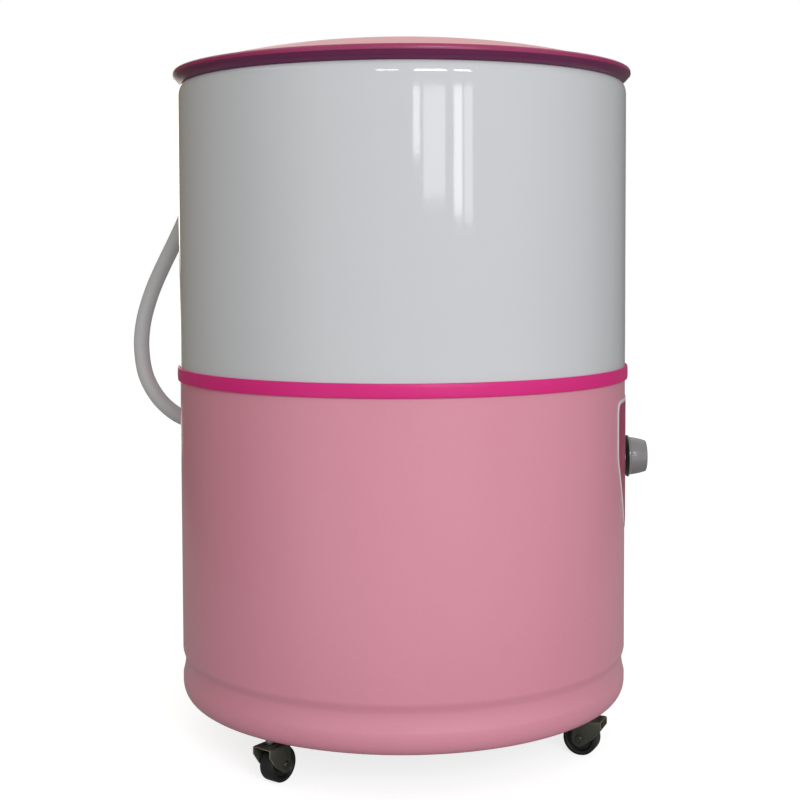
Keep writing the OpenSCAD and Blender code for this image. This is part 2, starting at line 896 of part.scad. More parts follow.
module motor_windings() {
    winding_h = bell_h / 2;
    color("peru")
        at_motor() {
            ring(winding_in, winding_out, stator_z - winding_h, winding_h);
            ring(winding_in, winding_out, stator_z + stator_h, winding_h);
        }
}

// One cup with a bearing seat, standing on its closed face
module end_bell() {
    seat = motor_bearing_d / 2;
    difference() {
        union() {
            rotate_extrude()
                polygon([
                    [motor_shaft_r + 1, 0], [motor_r - 4, 0], [motor_r, 4], [motor_r, bell_h],
                    [motor_r - bell_t, bell_h], [motor_r - bell_t, bell_t + 2],
                    [motor_r - bell_t - 2, bell_t], [seat + bell_t, bell_t],
                    [seat + bell_t, bell_t + motor_bearing_h], [seat, bell_t + motor_bearing_h],
                    [seat, bell_t], [motor_shaft_r + 1, bell_t]
                ]);
            for (a = [45:90:315])
                at_polar(a, through_pcd / 2, 0)
                    cylinder(r = through_bolt_d / 2 + 1.3, h = bell_h);
        }
        for (a = [45:90:315])
            at_polar(a, through_pcd / 2, -cut)
                cylinder(r = through_bolt_d / 2 + bolt_gap, h = bell_h + 2 * cut);
        for (a = [0:90:270])
            at_polar(a, (seat + motor_r) / 2, -cut)
                cylinder(r = 8, h = bell_t + 2 * cut);
    }
}

module motor_bells() {
    color("silver")
        at_motor() {
            translate([0, 0, motor_z])
                end_bell();
            translate([0, 0, motor_top])
                mirror([0, 0, 1])
                    end_bell();
        }
}

module motor_bearings() {
    color("lightgray")
        at_motor() {
            ring(motor_shaft_r + run_gap, motor_bearing_d / 2, motor_z + bell_t, motor_bearing_h);
            ring(
                motor_shaft_r + run_gap, motor_bearing_d / 2,
                motor_top - bell_t - motor_bearing_h, motor_bearing_h
            );
        }
}

module motor_bracket() {
    color("dimgray")
        at_motor()
            difference() {
                translate([-bracket_side / 2, -bracket_side / 2, bracket_z])
                    cube([bracket_side, bracket_side, bracket_t]);
                through_holes();
                bracket_holes();
                translate([0, 0, bracket_z - cut])
                    cylinder(r = motor_bearing_d / 2, h = bracket_t + 2 * cut);
            }
}

// Places of the bolts that hold the bracket on the beams
module at_bracket_bolts() {
    for (x = [-1, 1])
        for (y = [-1, 1])
            translate([x * (bracket_side / 2 - 14), y * beam_y, 0])
                children();
}

module bracket_holes() {
    at_bracket_bolts()
        translate([0, 0, bracket_z - steel_t - cut])
            cylinder(r = through_bolt_d / 2 + bolt_gap, h = bracket_t + steel_t + 2 * cut);
}

// A bolt with its head on top and its nut below
module bolt(from, to, head) {
    bolt_r = through_bolt_d / 2;
    nut = 5;
    translate([0, 0, from - nut - 3])
        cylinder(r = bolt_r, h = to - from + nut + 3);
    translate([0, 0, to])
        cylinder(r = bolt_r * 1.8, h = head, $fn = 6);
    translate([0, 0, from - nut])
        cylinder(r = bolt_r * 1.8, h = nut, $fn = 6);
}

// Four long bolts through the motor and its bracket, and four short ones into the beams
module motor_bolts() {
    color("silver")
        at_motor() {
            for (a = [45:90:315])
                at_polar(a, through_pcd / 2, 0)
                    bolt(bracket_z, motor_top, 2);
            at_bracket_bolts()
                bolt(bracket_z - steel_t, bracket_z + bracket_t, 4);
        }
}

// Two channels, open below, cut to the skirt's inner wall
module motor_beams() {
    color("dimgray")
        intersection() {
            for (side = [-1, 1])
                translate([-far, side * beam_y - beam_w / 2, beam_z])
                    difference() {
                        cube([2 * far, beam_w, beam_h]);
                        translate([-cut, steel_t, -cut])
                            cube([2 * far + 2 * cut, beam_w - 2 * steel_t, beam_h - steel_t + cut]);
                        translate([far - drive_centres, beam_w / 2 - side * beam_y, -beam_z])
                            bracket_holes();
                    }
            round_wall(inner_r);
        }
}

// Electrics

capacitor_x = -drive_centres + bracket_side / 2 + capacitor_d / 2 + 12;

module run_capacitor() {
    color("gainsboro")
        translate([capacitor_x, beam_y, bracket_z]) {
            cylinder(r = capacitor_d / 2, h = capacitor_h);
            for (side = [-1, 1])
                translate([side * capacitor_d / 5, 0, capacitor_h])
                    translate([-2.5, -0.5, 0])
                        cube([5, 1, 7]);
        }
}

module capacitor_clamp() {
    clamp_h = 14;
    wall = 1.5;
    outer = capacitor_d / 2 + wall;
    color("silver")
        translate([capacitor_x, beam_y, bracket_z])
            difference() {
                union() {
                    cylinder(r = outer, h = clamp_h);
                    translate([0, -clamp_h / 2, 0])
                        cube([outer + 12, clamp_h, wall]);
                }
                translate([0, 0, -cut])
                    cylinder(r = capacitor_d / 2, h = clamp_h + 2 * cut);
            }
}

module timer_screw_holes() {
    for (side = [-1, 1])
        translate([side * timer_screw_gap / 2, -body_r - cut, timer_z])
            rotate([-90, 0, 0])
                cylinder(r = timer_screw_r, h = 14);
}
timer_screw_r = 2;
timer_head_r = 4;
timer_head_h = 1.2;
// Where the screw heads meet the curved plate, at their inner edge
timer_seat = sqrt(pow(body_r + plate_t, 2) - pow(timer_screw_gap / 2 - timer_head_r, 2));

module timer_body() {
    color("ivory")
        difference() {
            intersection() {
                translate([-timer_side / 2, -body_r, timer_z - timer_side / 2])
                    cube([timer_side, body_r - timer_back, timer_side]);
                round_wall(inner_r);
            }
            translate([0, -body_r, timer_z])
                rotate([-90, 0, 0])
                    cylinder(r = timer_shaft_d / 2 + run_gap, h = timer_depth - 10);
            timer_screw_holes();
        }
}

module timer_shaft() {
    color("silver")
        translate([0, -knob_end + 8, timer_z])
            rotate([-90, 0, 0])
                cylinder(r = timer_shaft_d / 2, h = knob_end - 8 - body_r + timer_depth - 12);
}

// The knob's side bulges a little between its base and its face
function knob_r(u) = (knob_base_d - (knob_base_d - knob_face_d) * pow(u, 1.6)) / 2;

module timer_knob() {
    color("darkgray")
        translate([0, -knob_y, timer_z])
            rotate([90, 0, 0])
                difference() {
                    rotate_extrude()
                        polygon(concat(
                            [
                                [0, 0], [knob_flange_d / 2 - 1, 0], [knob_flange_d / 2, 1],
                                [knob_flange_d / 2, 2.2], [knob_flange_d / 2 - 0.8, 3],
                                [knob_base_d / 2 + 0.5, 3.2]
                            ],
                            [for (i = [0:5]) let (u = i / 5) [knob_r(u), 4 + (knob_l - 6.8) * u]],
                            arc(knob_face_d / 2 - 2, knob_l - 2.8, 2, 15, 90, 4),
                            [[0, knob_l]]
                        ));
                    translate([0, 0, -cut])
                        cylinder(r = timer_shaft_d / 2, h = knob_l - 8 + cut);
                }
}

// Two flat-headed screws under the knob, through the plate and the skirt into the timer
module timer_screws() {
    color("silver")
        for (side = [-1, 1])
            translate([side * timer_screw_gap / 2, -timer_seat - timer_head_h, timer_z])
                rotate([-90, 0, 0]) {
                    cylinder(r = timer_screw_r, h = 12);
                    cylinder(r = timer_head_r, h = timer_head_h);
                }
}

module control_plate() {
    half = (body_r + plate_t) * sin(plate_w / 2 / body_r * 180 / PI);
    x_top = half - plate_top_r;
    z_top = plate_h / 2 - plate_top_r;
    z_side = plate_h / 2 - plate_side_h;
    x_low = plate_low_w / 2 - plate_low_r;
    z_low = plate_low_r - plate_h / 2;
    // Angle at which the sides lean in, touching the corners above and below
    across = x_top - x_low;
    down = z_side - z_low;
    lean = atan2(across, down) - asin((plate_low_r - plate_top_r) / norm([across, down]));
    color("white")
        difference() {
            intersection() {
                ring(body_r, body_r + plate_t, base_z, skirt_h, wall_fn);
                translate([0, 0, plate_z])
                    rotate([90, 0, 0])
                        linear_extrude(height = far)
                            polygon(concat(
                                arc(x_top, z_top, plate_top_r, 0, 90, 6),
                                arc(-x_top, z_top, plate_top_r, 90, 180, 6),
                                arc(-x_top, z_side, plate_top_r, 180, 180 + lean, 3),
                                arc(-x_low, z_low, plate_low_r, 180 + lean, 270, 6),
                                arc(x_low, z_low, plate_low_r, 270, 360 - lean, 6),
                                arc(x_top, z_side, plate_top_r, 360 - lean, 360, 3)
                            ));
            }
            radial_rod(270, timer_z, timer_shaft_d, body_r - cut, body_r + plate_t + cut);
            timer_screw_holes();
        }
}

gland_r = 8;
gland_in = 14;
gland_out = 9;

module cord_gland() {
    color("black")
        difference() {
            union() {
                radial_rod(gland_angle, gland_z, gland_r, inner_r - gland_in, body_r + gland_out);
                difference() {
                    radial_rod(gland_angle, gland_z, gland_r + 5, inner_r, body_r + 4);
                    round_wall(body_r);
                }
                intersection() {
                    radial_rod(gland_angle, gland_z, gland_r + 5, inner_r - 7, body_r);
                    round_wall(inner_r);
                }
            }
            radial_rod(gland_angle, gland_z, gland_bore / 2, inner_r - gland_in + 2, body_r + gland_out + cut);
        }
}

// Drain

module drain_strainer() {
    tube_r = drain_tube_d / 2;
    flange_t = 2.5;
    color("white")
        at_polar(outlet_angle, drain_r, 0)
            difference() {
                union() {
                    translate([0, 0, floor_top])
                        cylinder(r = strainer_d / 2, h = flange_t);
                    translate([0, 0, floor_z - drain_tube_l])
                        cylinder(r = tube_r, h = sheet_t + drain_tube_l);
                }
                translate([0, 0, floor_z - drain_tube_l - cut])
                    cylinder(r = tube_r - drain_wall, h = sheet_t + drain_tube_l + cut);
                for (a = [0:60:300])
                    at_polar(a, (tube_r - drain_wall) * 0.6, floor_z)
                        cylinder(r = 2.2, h = 10);
                translate([0, 0, floor_z])
                    cylinder(r = 2.2, h = 10);
            }
}

// The nut under the tub floor and the nut inside the skirt
module drain_nuts() {
    color("white") {
        at_polar(outlet_angle, drain_r, floor_z - drain_nut_h)
            difference() {
                cylinder(r = strainer_d / 2 - 2, h = drain_nut_h, $fn = 6);
                translate([0, 0, -cut])
                    cylinder(r = drain_tube_d / 2, h = drain_nut_h + 2 * cut);
            }
        difference() {
            intersection() {
                radial_rod(outlet_angle, outlet_z, spigot_d / 2 + 6, inner_r - 8, body_r);
                round_wall(inner_r);
            }
            radial_rod(outlet_angle, outlet_z, spigot_d / 2, inner_r - 10, body_r + cut);
        }
    }
}
drain_nut_h = 6;

module drain_elbow() {
    bore_r = drain_tube_d / 2;
    outer_r = bore_r + drain_wall;
    color("gainsboro")
        difference() {
            union() {
                at_polar(outlet_angle, drain_r, drain_z)
                    cylinder(r = outer_r, h = floor_z - drain_nut_h - drain_z);
                radial_rod(outlet_angle, outlet_z, spigot_d / 2, drain_r, stub_end);
            }
            at_polar(outlet_angle, drain_r, drain_z + drain_wall)
                cylinder(r = bore_r - drain_wall, h = floor_z - drain_z);
            at_polar(outlet_angle, drain_r, floor_z - drain_tube_l)
                cylinder(r = bore_r, h = drain_tube_l);
            radial_rod(outlet_angle, outlet_z, spigot_d / 2 - spigot_t, drain_r, stub_end + cut);
        }
}

sleeve_in = drain_r + drain_tube_d / 2 + drain_wall + 1;

module drain_tube() {
    color("black")
        difference() {
            radial_rod(outlet_angle, outlet_z, hose_r, sleeve_in, inner_r - 9);
            radial_rod(outlet_angle, outlet_z, spigot_d / 2, sleeve_in - cut, inner_r);
        }
}

module outlet_spigot() {
    color("gainsboro")
        difference() {
            union() {
                radial_rod(outlet_angle, outlet_z, spigot_d / 2, spigot_start, spigot_end);
                difference() {
                    radial_rod(outlet_angle, outlet_z, spigot_flange_d / 2, inner_r, body_r + 4);
                    round_wall(body_r);
                }
            }
            radial_rod(outlet_angle, outlet_z, spigot_d / 2 - spigot_t, spigot_start - cut, spigot_end + cut);
        }
}

// Worm clamps: two on the inner sleeve and one on the hose
module hose_clamps() {
    clamp_w = 8;
    color("silver")
        for (from = [sleeve_in + 1, inner_r - 19, body_r + 12])
            difference() {
                union() {
                    radial_rod(outlet_angle, outlet_z, hose_r + 1.3, from, from + clamp_w);
                    at_polar(outlet_angle, from, outlet_z + hose_r)
                        translate([0, -6, 0])
                            cube([clamp_w, 12, 6]);
                }
                radial_rod(outlet_angle, outlet_z, hose_r + slot_gap / 2, from - cut, from + clamp_w + cut);
            }
}

// Bent strap on the tub wall that carries the hose's loop
module hose_hook() {
    top = hose_crest[2] - hose_r - 2 * body_gap;
    lip = hose_crest[1] + hose_r + 1;
    leg = body_r + hook_t;
    color("gray")
        difference() {
            rotate([0, 0, hose_crest[0]])
                translate([0, hook_w / 2, 0])
                    rotate([90, 0, 0])
                        linear_extrude(height = hook_w)
                            polygon([
                                [inner_r, top - 34], [leg, top - 34], [leg, top - hook_t - 4],
                                [leg + 4, top - hook_t], [lip, top - hook_t], [lip + hook_t, top],
                                [lip + hook_t, top + 12], [lip, top + 12], [lip, top], [inner_r, top]
                            ]);
            round_wall(body_r);
        }
}

// A tube of constant radius along a list of points
function unit(v) = v / norm(v);
function tangent(p, i) = unit(p[min(i + 1, len(p) - 1)] - p[max(i - 1, 0)]);
function carried(u, t) = unit(u - (u * t) * t);
function side_dirs(p, i, u) =
    i >= len(p) ? [] : let (v = carried(u, tangent(p, i))) concat([v], side_dirs(p, i + 1, v));
function cartesian(p) = [p[1] * cos(p[0]), p[1] * sin(p[0]), p[2]];

module swept_tube(p, r, sides, first_side) {
    u = side_dirs(p, 0, first_side);
    last = (len(p) - 1) * sides;
    polyhedron(
        points = [
            for (i = [0:len(p) - 1])
                let (w = cross(tangent(p, i), u[i]))
                for (k = [0:sides - 1])
                    p[i] + r * (cos(360 * k / sides) * u[i] + sin(360 * k / sides) * w)
        ],
        faces = concat(
            [for (k = [1:sides - 2]) [0, k, k + 1]],
            [for (k = [1:sides - 2]) [last, last + k + 1, last + k]],
            [
                for (i = [0:len(p) - 2])
                    for (k = [0:sides - 1])
                        let (a = i * sides + k, b = i * sides + (k + 1) % sides)
                        [a, a + sides, b + sides]
            ],
            [
                for (i = [0:len(p) - 2])
                    for (k = [0:sides - 1])
                        let (a = i * sides + k, b = i * sides + (k + 1) % sides)
                        [a, b + sides, b]
            ]
        )
    );
}

module drain_hose() {
    color("gray")
        swept_tube([for (p = hose_line) cartesian(p)], hose_r, 12, [0, 0, 1]);
}

module hose_end_cuff() {
    color("dimgray")
        at_polar(hose_foot[0], hose_foot[1], hose_foot[2] - cuff_l / 2)
            difference() {
                cylinder(r = cuff_d / 2, h = cuff_l);
                translate([0, 0, cuff_l / 2])
                    cylinder(r = hose_r, h = cuff_l);
                translate([0, 0, -cut])
                    cylinder(r = cuff_bore / 2, h = cuff_l);
            }
}

// A route moved bit by bit so that it starts and ends at two given points
function stretched(p, from, to) =
    let (last = len(p) - 1)
    [for (i = [0:last]) p[i] + (1 - i / last) * (from - p[0]) + i / last * (to - p[last])];

module wiring_harness() {
    inlet = cartesian([gland_angle, inner_r - gland_in - 3 * body_gap, gland_z]);
    timer = [0, -timer_back - timer_depth * 0.4, timer_z - timer_side / 2 - body_gap];
    entry = motor_r + 2 * body_gap;
    color("black") {
        swept_tube(
            stretched(inlet_cable, inlet, [-drive_centres, entry, cable_entry_z]),
            cable_r, 8, [0, 0, 1]
        );
        swept_tube(
            stretched(timer_cable, timer, [-drive_centres, -entry, cable_entry_z]),
            cable_r, 8, [1, 0, 0]
        );
    }
}

// Casters

// Four swivel pins: collar below the flange, rivet head under the fork, nut on the base ring
module caster_stems() {
    nut = 6;
    top = base_z + sheet_t + base_ring_t;
    head_z = fork_top - steel_t - body_gap;
    color("silver")
        for (a = caster_angles)
            at_polar(a, caster_circle_r, 0) {
                translate([0, 0, head_z - 1.5])
                    cylinder(r = stem_r, h = top + nut + 2 - head_z + 1.5);
                translate([0, 0, head_z - 1.5])
                    cylinder(r = stem_r + 1.5, h = 1.5);
                translate([0, 0, fork_top + body_gap])
                    cylinder(r = collar_d / 2, h = collar_l);
                translate([0, 0, top])
                    cylinder(r = stem_r * 1.8, h = nut, $fn = 6);
            }
}

// Side view of a fork, nose forward, with the swivel pin at the origin
module fork_side() {
    polygon(concat(
        [[fork_nose, fork_top], [fork_nose, fork_top - 9], [fork_nose - 1.2, fork_top - 12]],
        arc(-caster_trail, wheel_d / 2, fork_lobe_r, -45, -185, 14),
        [[-caster_trail - fork_lobe_r + 2.5, fork_top]]
    ));
}

module caster_fork(i) {
    color("darkslategray")
        at_polar(caster_angles[i], caster_circle_r, 0)
            difference() {
                translate([0, fork_w / 2, 0])
                    rotate([90, 0, 0])
                        linear_extrude(height = fork_w)
                            fork_side();
                translate([-far, -fork_in / 2, -cut])
                    cube([2 * far, fork_in, fork_top - steel_t + cut]);
                cylinder(r = stem_r + run_gap, h = fork_top + cut);
                translate([-caster_trail, -fork_w, wheel_d / 2])
                    rotate([-90, 0, 0])
                        cylinder(r = axle_d / 2, h = 2 * fork_w);
            }
}

module caster_axle(i) {
    head = 1.5;
    color("silver")
        at_polar(caster_angles[i], caster_circle_r, 0)
            translate([-caster_trail, -fork_w / 2, wheel_d / 2])
                rotate([-90, 0, 0]) {
                    translate([0, 0, -head])
                        cylinder(r = axle_d / 2, h = fork_w + 2 * head);
                    translate([0, 0, -head])
                        cylinder(r = axle_d / 2 + 1.5, h = head);
                    translate([0, 0, fork_w])
                        cylinder(r = axle_d / 2 + 1.5, h = head);
                }
}

module caster_wheel(i) {
    hub_half = fork_in / 2 - 1;
    half = wheel_w / 2;
    rim_r = wheel_d / 2;
    color("black")
        at_polar(caster_angles[i], caster_circle_r, 0)
            translate([-caster_trail, 0, rim_r])
                rotate([-90, 0, 0])
                    rotate_extrude()
                        polygon([
                            [axle_d / 2 + run_gap, -hub_half], [axle_d / 2 + 3, -hub_half],
                            [axle_d / 2 + 3.5, -half + 2.5], [rim_r - 6, -half + 2.5], [rim_r - 5, -half],
                            [rim_r - 2, -half], [rim_r, -half + 2.5], [rim_r, half - 2.5],
                            [rim_r - 2, half], [rim_r - 5, half], [rim_r - 6, half - 2.5],
                            [axle_d / 2 + 3.5, half - 2.5], [axle_d / 2 + 3, hub_half],
                            [axle_d / 2 + run_gap, hub_half]
                        ]);
}

wash_tub();
seam_ring();
lower_skirt();
trim_band();
rim_ring();
lid();
lid_grip();
pulsator();
pulsator_screw();
drive_shaft();
driven_pulley();
pulley_nut();
bearing_housing();
housing_gasket();
housing_bolts();
shaft_bushes();
shaft_seal();
drive_belt();
motor_pulley();
motor_rotor();
motor_fan();
motor_stator();
motor_windings();
motor_bells();
motor_bearings();
motor_bracket();
motor_bolts();
motor_beams();
run_capacitor();
capacitor_clamp();
timer_body();
timer_shaft();
timer_knob();
timer_screws();
control_plate();
drain_strainer();
drain_nuts();
drain_elbow();
drain_tube();
outlet_spigot();
hose_clamps();
hose_hook();
drain_hose();
hose_end_cuff();
cord_gland();
wiring_harness();
base_ring();
caster_stems();
for (i = [0:3]) {
    caster_fork(i);
    caster_axle(i);
    caster_wheel(i);
}
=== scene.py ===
# Round top-loading washing machine on four casters.
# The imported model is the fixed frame, and the pieces below are modelled around it, in metres.
import math
import bpy
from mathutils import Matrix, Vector


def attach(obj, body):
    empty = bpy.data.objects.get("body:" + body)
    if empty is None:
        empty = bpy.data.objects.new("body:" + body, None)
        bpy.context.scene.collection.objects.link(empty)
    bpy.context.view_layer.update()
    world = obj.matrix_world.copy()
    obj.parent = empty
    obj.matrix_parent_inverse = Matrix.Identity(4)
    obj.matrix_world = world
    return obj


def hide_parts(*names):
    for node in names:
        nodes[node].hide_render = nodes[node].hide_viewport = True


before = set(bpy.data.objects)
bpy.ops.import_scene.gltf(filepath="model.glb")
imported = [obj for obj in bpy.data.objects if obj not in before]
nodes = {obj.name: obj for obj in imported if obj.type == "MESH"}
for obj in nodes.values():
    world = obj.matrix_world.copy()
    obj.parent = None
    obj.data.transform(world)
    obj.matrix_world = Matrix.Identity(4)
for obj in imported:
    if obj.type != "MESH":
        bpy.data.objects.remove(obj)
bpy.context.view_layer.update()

mm = 0.001


# Camera first

cameraSettings = {
    "place": (-1.735, 0.0, 0.584),
    "pitch": 0.0491,      # looks a little down
    "roll": 0.0036, "yaw": 0.0015,
    "lens": 64.93, "sensor": 36, "shiftY": -0.103, "clipStart": 0.05,
}


def makeCamera(s):
    bpy.ops.object.camera_add(location=s["place"])
    camera = bpy.context.object
    camera.name = "photoCamera"
    camera.rotation_euler = (math.pi / 2 - s["pitch"], s["roll"], -math.pi / 2 + s["yaw"])
    camera.data.lens = s["lens"]
    camera.data.sensor_width = s["sensor"]
    camera.data.shift_y = s["shiftY"]
    camera.data.clip_start = s["clipStart"]
    bpy.context.scene.camera = camera


makeCamera(cameraSettings)
print("camera set")


# Small helpers for modelling

mergeDistance = 0.00002       # loose points closer than this become one
turnedMerge = 0.000005        # the same on turned pieces, whose points already meet


def deselectAll():
    if bpy.context.object and bpy.context.object.mode != "OBJECT":
        bpy.ops.object.mode_set(mode="OBJECT")
    bpy.ops.object.select_all(action="DESELECT")


def makeActive(piece):
    deselectAll()
    piece.select_set(True)
    bpy.context.view_layer.objects.active = piece


def named(name):
    piece = bpy.context.object
    piece.name = name
    piece.data.name = name
    return piece


def editAll():
    bpy.ops.object.mode_set(mode="EDIT")
    selectMesh()


def selectMesh():
    bpy.ops.mesh.select_all(action="SELECT")


def editDone():
    bpy.ops.object.mode_set(mode="OBJECT")


def applyPlace(piece):
    makeActive(piece)
    bpy.ops.object.transform_apply(location=True, rotation=True, scale=True)


def applyModifier(piece, kind, **values):
    makeActive(piece)
    modifier = piece.modifiers.new(kind.lower(), kind)
    for key, value in values.items():
        setattr(modifier, key, value)
    bpy.ops.object.modifier_apply(modifier=modifier.name)


def smooth(piece, angle):
    makeActive(piece)
    bpy.ops.object.shade_smooth_by_angle(angle=math.radians(angle))


def roundEdges(piece, width, segments, angle):
    applyModifier(piece, "BEVEL", width=width, segments=segments, limit_method="ANGLE",
                  angle_limit=math.radians(angle), use_clamp_overlap=True)
    smooth(piece, angle)


def arcPoints(cx, cz, rx, rz, start, end, steps):
    points = []
    for i in range(steps + 1):
        angle = math.radians(start + (end - start) * i / steps)
        points.append((cx + rx * math.cos(angle), cz + rz * math.sin(angle)))
    return points


# A turned piece: one circle, extruded and scaled along its section, in millimetres.
# A section that isn't closed gets a flat cap at both ends.
def turned(name, section, steps, closed=True):
    deselectAll()
    radius, height = section[0]
    bpy.ops.mesh.primitive_circle_add(vertices=steps, radius=radius * mm, location=(0, 0, height * mm))
    piece = named(name)
    applyPlace(piece)
    editAll()
    follow = section[1:] + ([section[0]] if closed else [])
    for newRadius, newHeight in follow:
        bpy.ops.mesh.extrude_region_move(
            TRANSFORM_OT_translate={"value": (0, 0, (newHeight - height) * mm)})
        scale = newRadius / radius
        bpy.ops.transform.resize(value=(scale, scale, 1), center_override=(0, 0, newHeight * mm))
        radius, height = newRadius, newHeight
    selectMesh()
    bpy.ops.mesh.remove_doubles(threshold=turnedMerge)
    if not closed:
        bpy.ops.mesh.fill_holes(sides=0)
    selectMesh()
    bpy.ops.mesh.normals_make_consistent(inside=False)
    editDone()
    return piece


# Turns a piece made about Z so that it lies about another axis, then moves it there
def place(piece, rotation=(0, 0, 0), location=(0, 0, 0)):
    piece.rotation_euler = [math.radians(a) for a in rotation]
    piece.location = location
    applyPlace(piece)
    return piece


def copyOf(piece, name):
    makeActive(piece)
    bpy.ops.object.duplicate(linked=False)
    return named(name)


def polar(angle, distance, height=0.0):
    turn = math.radians(angle)
    return Vector((distance * math.cos(turn), distance * math.sin(turn), height)) * mm


def cutWith(piece, cutter):
    applyModifier(piece, "BOOLEAN", operation="DIFFERENCE", object=cutter, solver="EXACT")
    bpy.data.objects.remove(cutter, do_unlink=True)


def cylinder(radius, depth, location, rotation=(0, 0, 0), sides=48):
    deselectAll()
    bpy.ops.mesh.primitive_cylinder_add(
        vertices=sides, radius=radius * mm, depth=depth * mm, location=location,
        rotation=[math.radians(a) for a in rotation])
    return bpy.context.object


def drill(piece, radius, depth, location, rotation=(0, 0, 0), sides=48):
    cutWith(piece, cylinder(radius, depth, location, rotation, sides))


# A box between two corners, in millimetres
def block(name, low, high):
    deselectAll()
    bpy.ops.mesh.primitive_cube_add(size=1, location=[(a + b) / 2 * mm for a, b in zip(low, high)])
    piece = named(name)
    piece.scale = [(b - a) * mm for a, b in zip(low, high)]
    applyPlace(piece)
    return piece


# Opens a piece for editing with only the points or edges selected that pass a test of their place
def pick(piece, kind, test):
    makeActive(piece)
    bpy.ops.object.mode_set(mode="EDIT")
    bpy.ops.mesh.select_mode(type=kind)
    bpy.ops.mesh.select_all(action="DESELECT")
    editDone()
    mesh = piece.data
    if kind == "VERT":
        for point in mesh.vertices:
            point.select = test(point.co / mm)
    else:
        for edge in mesh.edges:
            edge.select = test(*(mesh.vertices[i].co / mm for i in edge.vertices))
    bpy.ops.object.mode_set(mode="EDIT")


def join(name, pieces):
    deselectAll()
    for piece in pieces:
        piece.select_set(True)
    bpy.context.view_layer.objects.active = pieces[0]
    bpy.ops.object.join()
    return named(name)


# Finishes

def addNode(tree, kind, options=None, inputs=None):
    made = tree.nodes.new("ShaderNode" + kind)
    for key, value in (options or {}).items():
        setattr(made, key, value)
    for key, value in (inputs or {}).items():
        if isinstance(value, bpy.types.NodeSocket):
            tree.links.new(value, made.inputs[key])
        else:
            made.inputs[key].default_value = value
    return made


def linear(color):
    shades = []
    for value in color:
        value /= 255
        shades.append(value / 12.92 if value <= 0.04045 else ((value + 0.055) / 1.055) ** 2.4)
    return (*shades, 1)


# The sockets of a Mix node that is set to colors: factor, first, second and result
def mixColor(tree, factor, first, second):
    return addNode(tree, "Mix", {"data_type": "RGBA"}, {0: factor, 6: first, 7: second}).outputs[2]


def addMath(tree, operation, first, second, clamp=False):
    options = {"operation": operation, "use_clamp": clamp}
    return addNode(tree, "Math", options, {0: first, 1: second}).outputs[0]


def mapRange(tree, value, low, high, start, end):
    return addNode(tree, "MapRange", None, {
        "Value": value, "From Min": low, "From Max": high, "To Min": start, "To Max": end}).outputs[0]


# How the layers are spread, the same in every finish
layerSettings = {
    "patch": {"Detail": 4, "Roughness": 0.55}, "patchRange": (0.2, 0.8),
    "grain": {"Detail": 3, "Roughness": 0.6}, "grainRange": (0.35, 0.65),
    "dotEdge": 0.05, "rareEdge": 0.08, "bandRange": (0.2, 0.8),
    "brokenRange": (0.4, 0.62), "brokenLeast": 0.25,
}


finishes = {}


# One finish from layers: broad patches, specks, grain, bands and worn edges, with a fine bump. Where given:
# grain (color, amount), speck (color, scale, size, rarity), bands (color, scale, amount, axis, distortion),
# wear (color, where it starts, where it is full) and coat (weight, roughness)
def makeFinish(name, color, patchColor, patchScale, grainScale, bump, roughness, bumpDepth=0.0004,
               stretch=(1, 1, 1), grain=None, speck=None, bands=None, wear=None,
               metallic=0.0, specular=0.5, coat=(0.0, 0.03)):
    s = layerSettings
    material = bpy.data.materials.new(name)
    material.use_nodes = True
    tree = material.node_tree
    shader = tree.nodes["Principled BSDF"]
    coords = addNode(tree, "TexCoord").outputs["Object"]
    stretched = addNode(tree, "Mapping", None, {"Vector": coords, "Scale": stretch}).outputs[0]
    patches = addNode(tree, "TexNoise", None, {
        "Vector": coords, "Scale": patchScale, **s["patch"]}).outputs[0]
    patchMask = mapRange(tree, patches, *s["patchRange"], 0, 1)
    shade = mixColor(tree, patchMask, linear(color), linear(patchColor))
    fine = addNode(tree, "TexNoise", None, {
        "Vector": stretched, "Scale": grainScale, **s["grain"]}).outputs[0]
    if speck:
        speckColor, scale, size, rarity = speck
        cells = addNode(tree, "TexVoronoi", None, {"Vector": coords, "Scale": scale})
        dot = mapRange(tree, cells.outputs["Distance"], size, size + s["dotEdge"], 1, 0)
        rare = mapRange(tree, patches, rarity, rarity + s["rareEdge"], 0, 1)
        shade = mixColor(tree, addMath(tree, "MULTIPLY", dot, rare), shade, linear(speckColor))
    if grain:
        grainColor, amount = grain
        shade = mixColor(tree, mapRange(tree, fine, *s["grainRange"], 0, amount), shade, linear(grainColor))
    height = fine
    if bands:
        bandColor, scale, amount, axis, distortion = bands
        wave = addNode(tree, "TexWave", {"bands_direction": axis}, {
            "Vector": coords, "Scale": scale, "Distortion": distortion, "Detail": 1}).outputs["Fac"]
        shade = mixColor(tree, mapRange(tree, wave, *s["bandRange"], 0, amount), shade, linear(bandColor))
        height = addMath(tree, "ADD", fine, wave)
    if wear:
        wearColor, start, full = wear
        edge = mapRange(tree, addNode(tree, "NewGeometry").outputs["Pointiness"], start, full, 0, 1)
        broken = mapRange(tree, fine, *s["brokenRange"], s["brokenLeast"], 1)
        shade = mixColor(tree, addMath(tree, "MULTIPLY", edge, broken), shade, linear(wearColor))
    tree.links.new(shade, shader.inputs["Base Color"])
    tree.links.new(mapRange(tree, patches, *s["patchRange"], *roughness), shader.inputs["Roughness"])
    bumps = addNode(tree, "Bump", None, {"Strength": bump, "Distance": bumpDepth, "Height": height})
    tree.links.new(bumps.outputs[0], shader.inputs["Normal"])
    for socket, value in (("Metallic", metallic), ("Specular IOR Level", specular),
                          ("Coat Weight", coat[0]), ("Coat Roughness", coat[1])):
        shader.inputs[socket].default_value = value
    finishes[name] = material


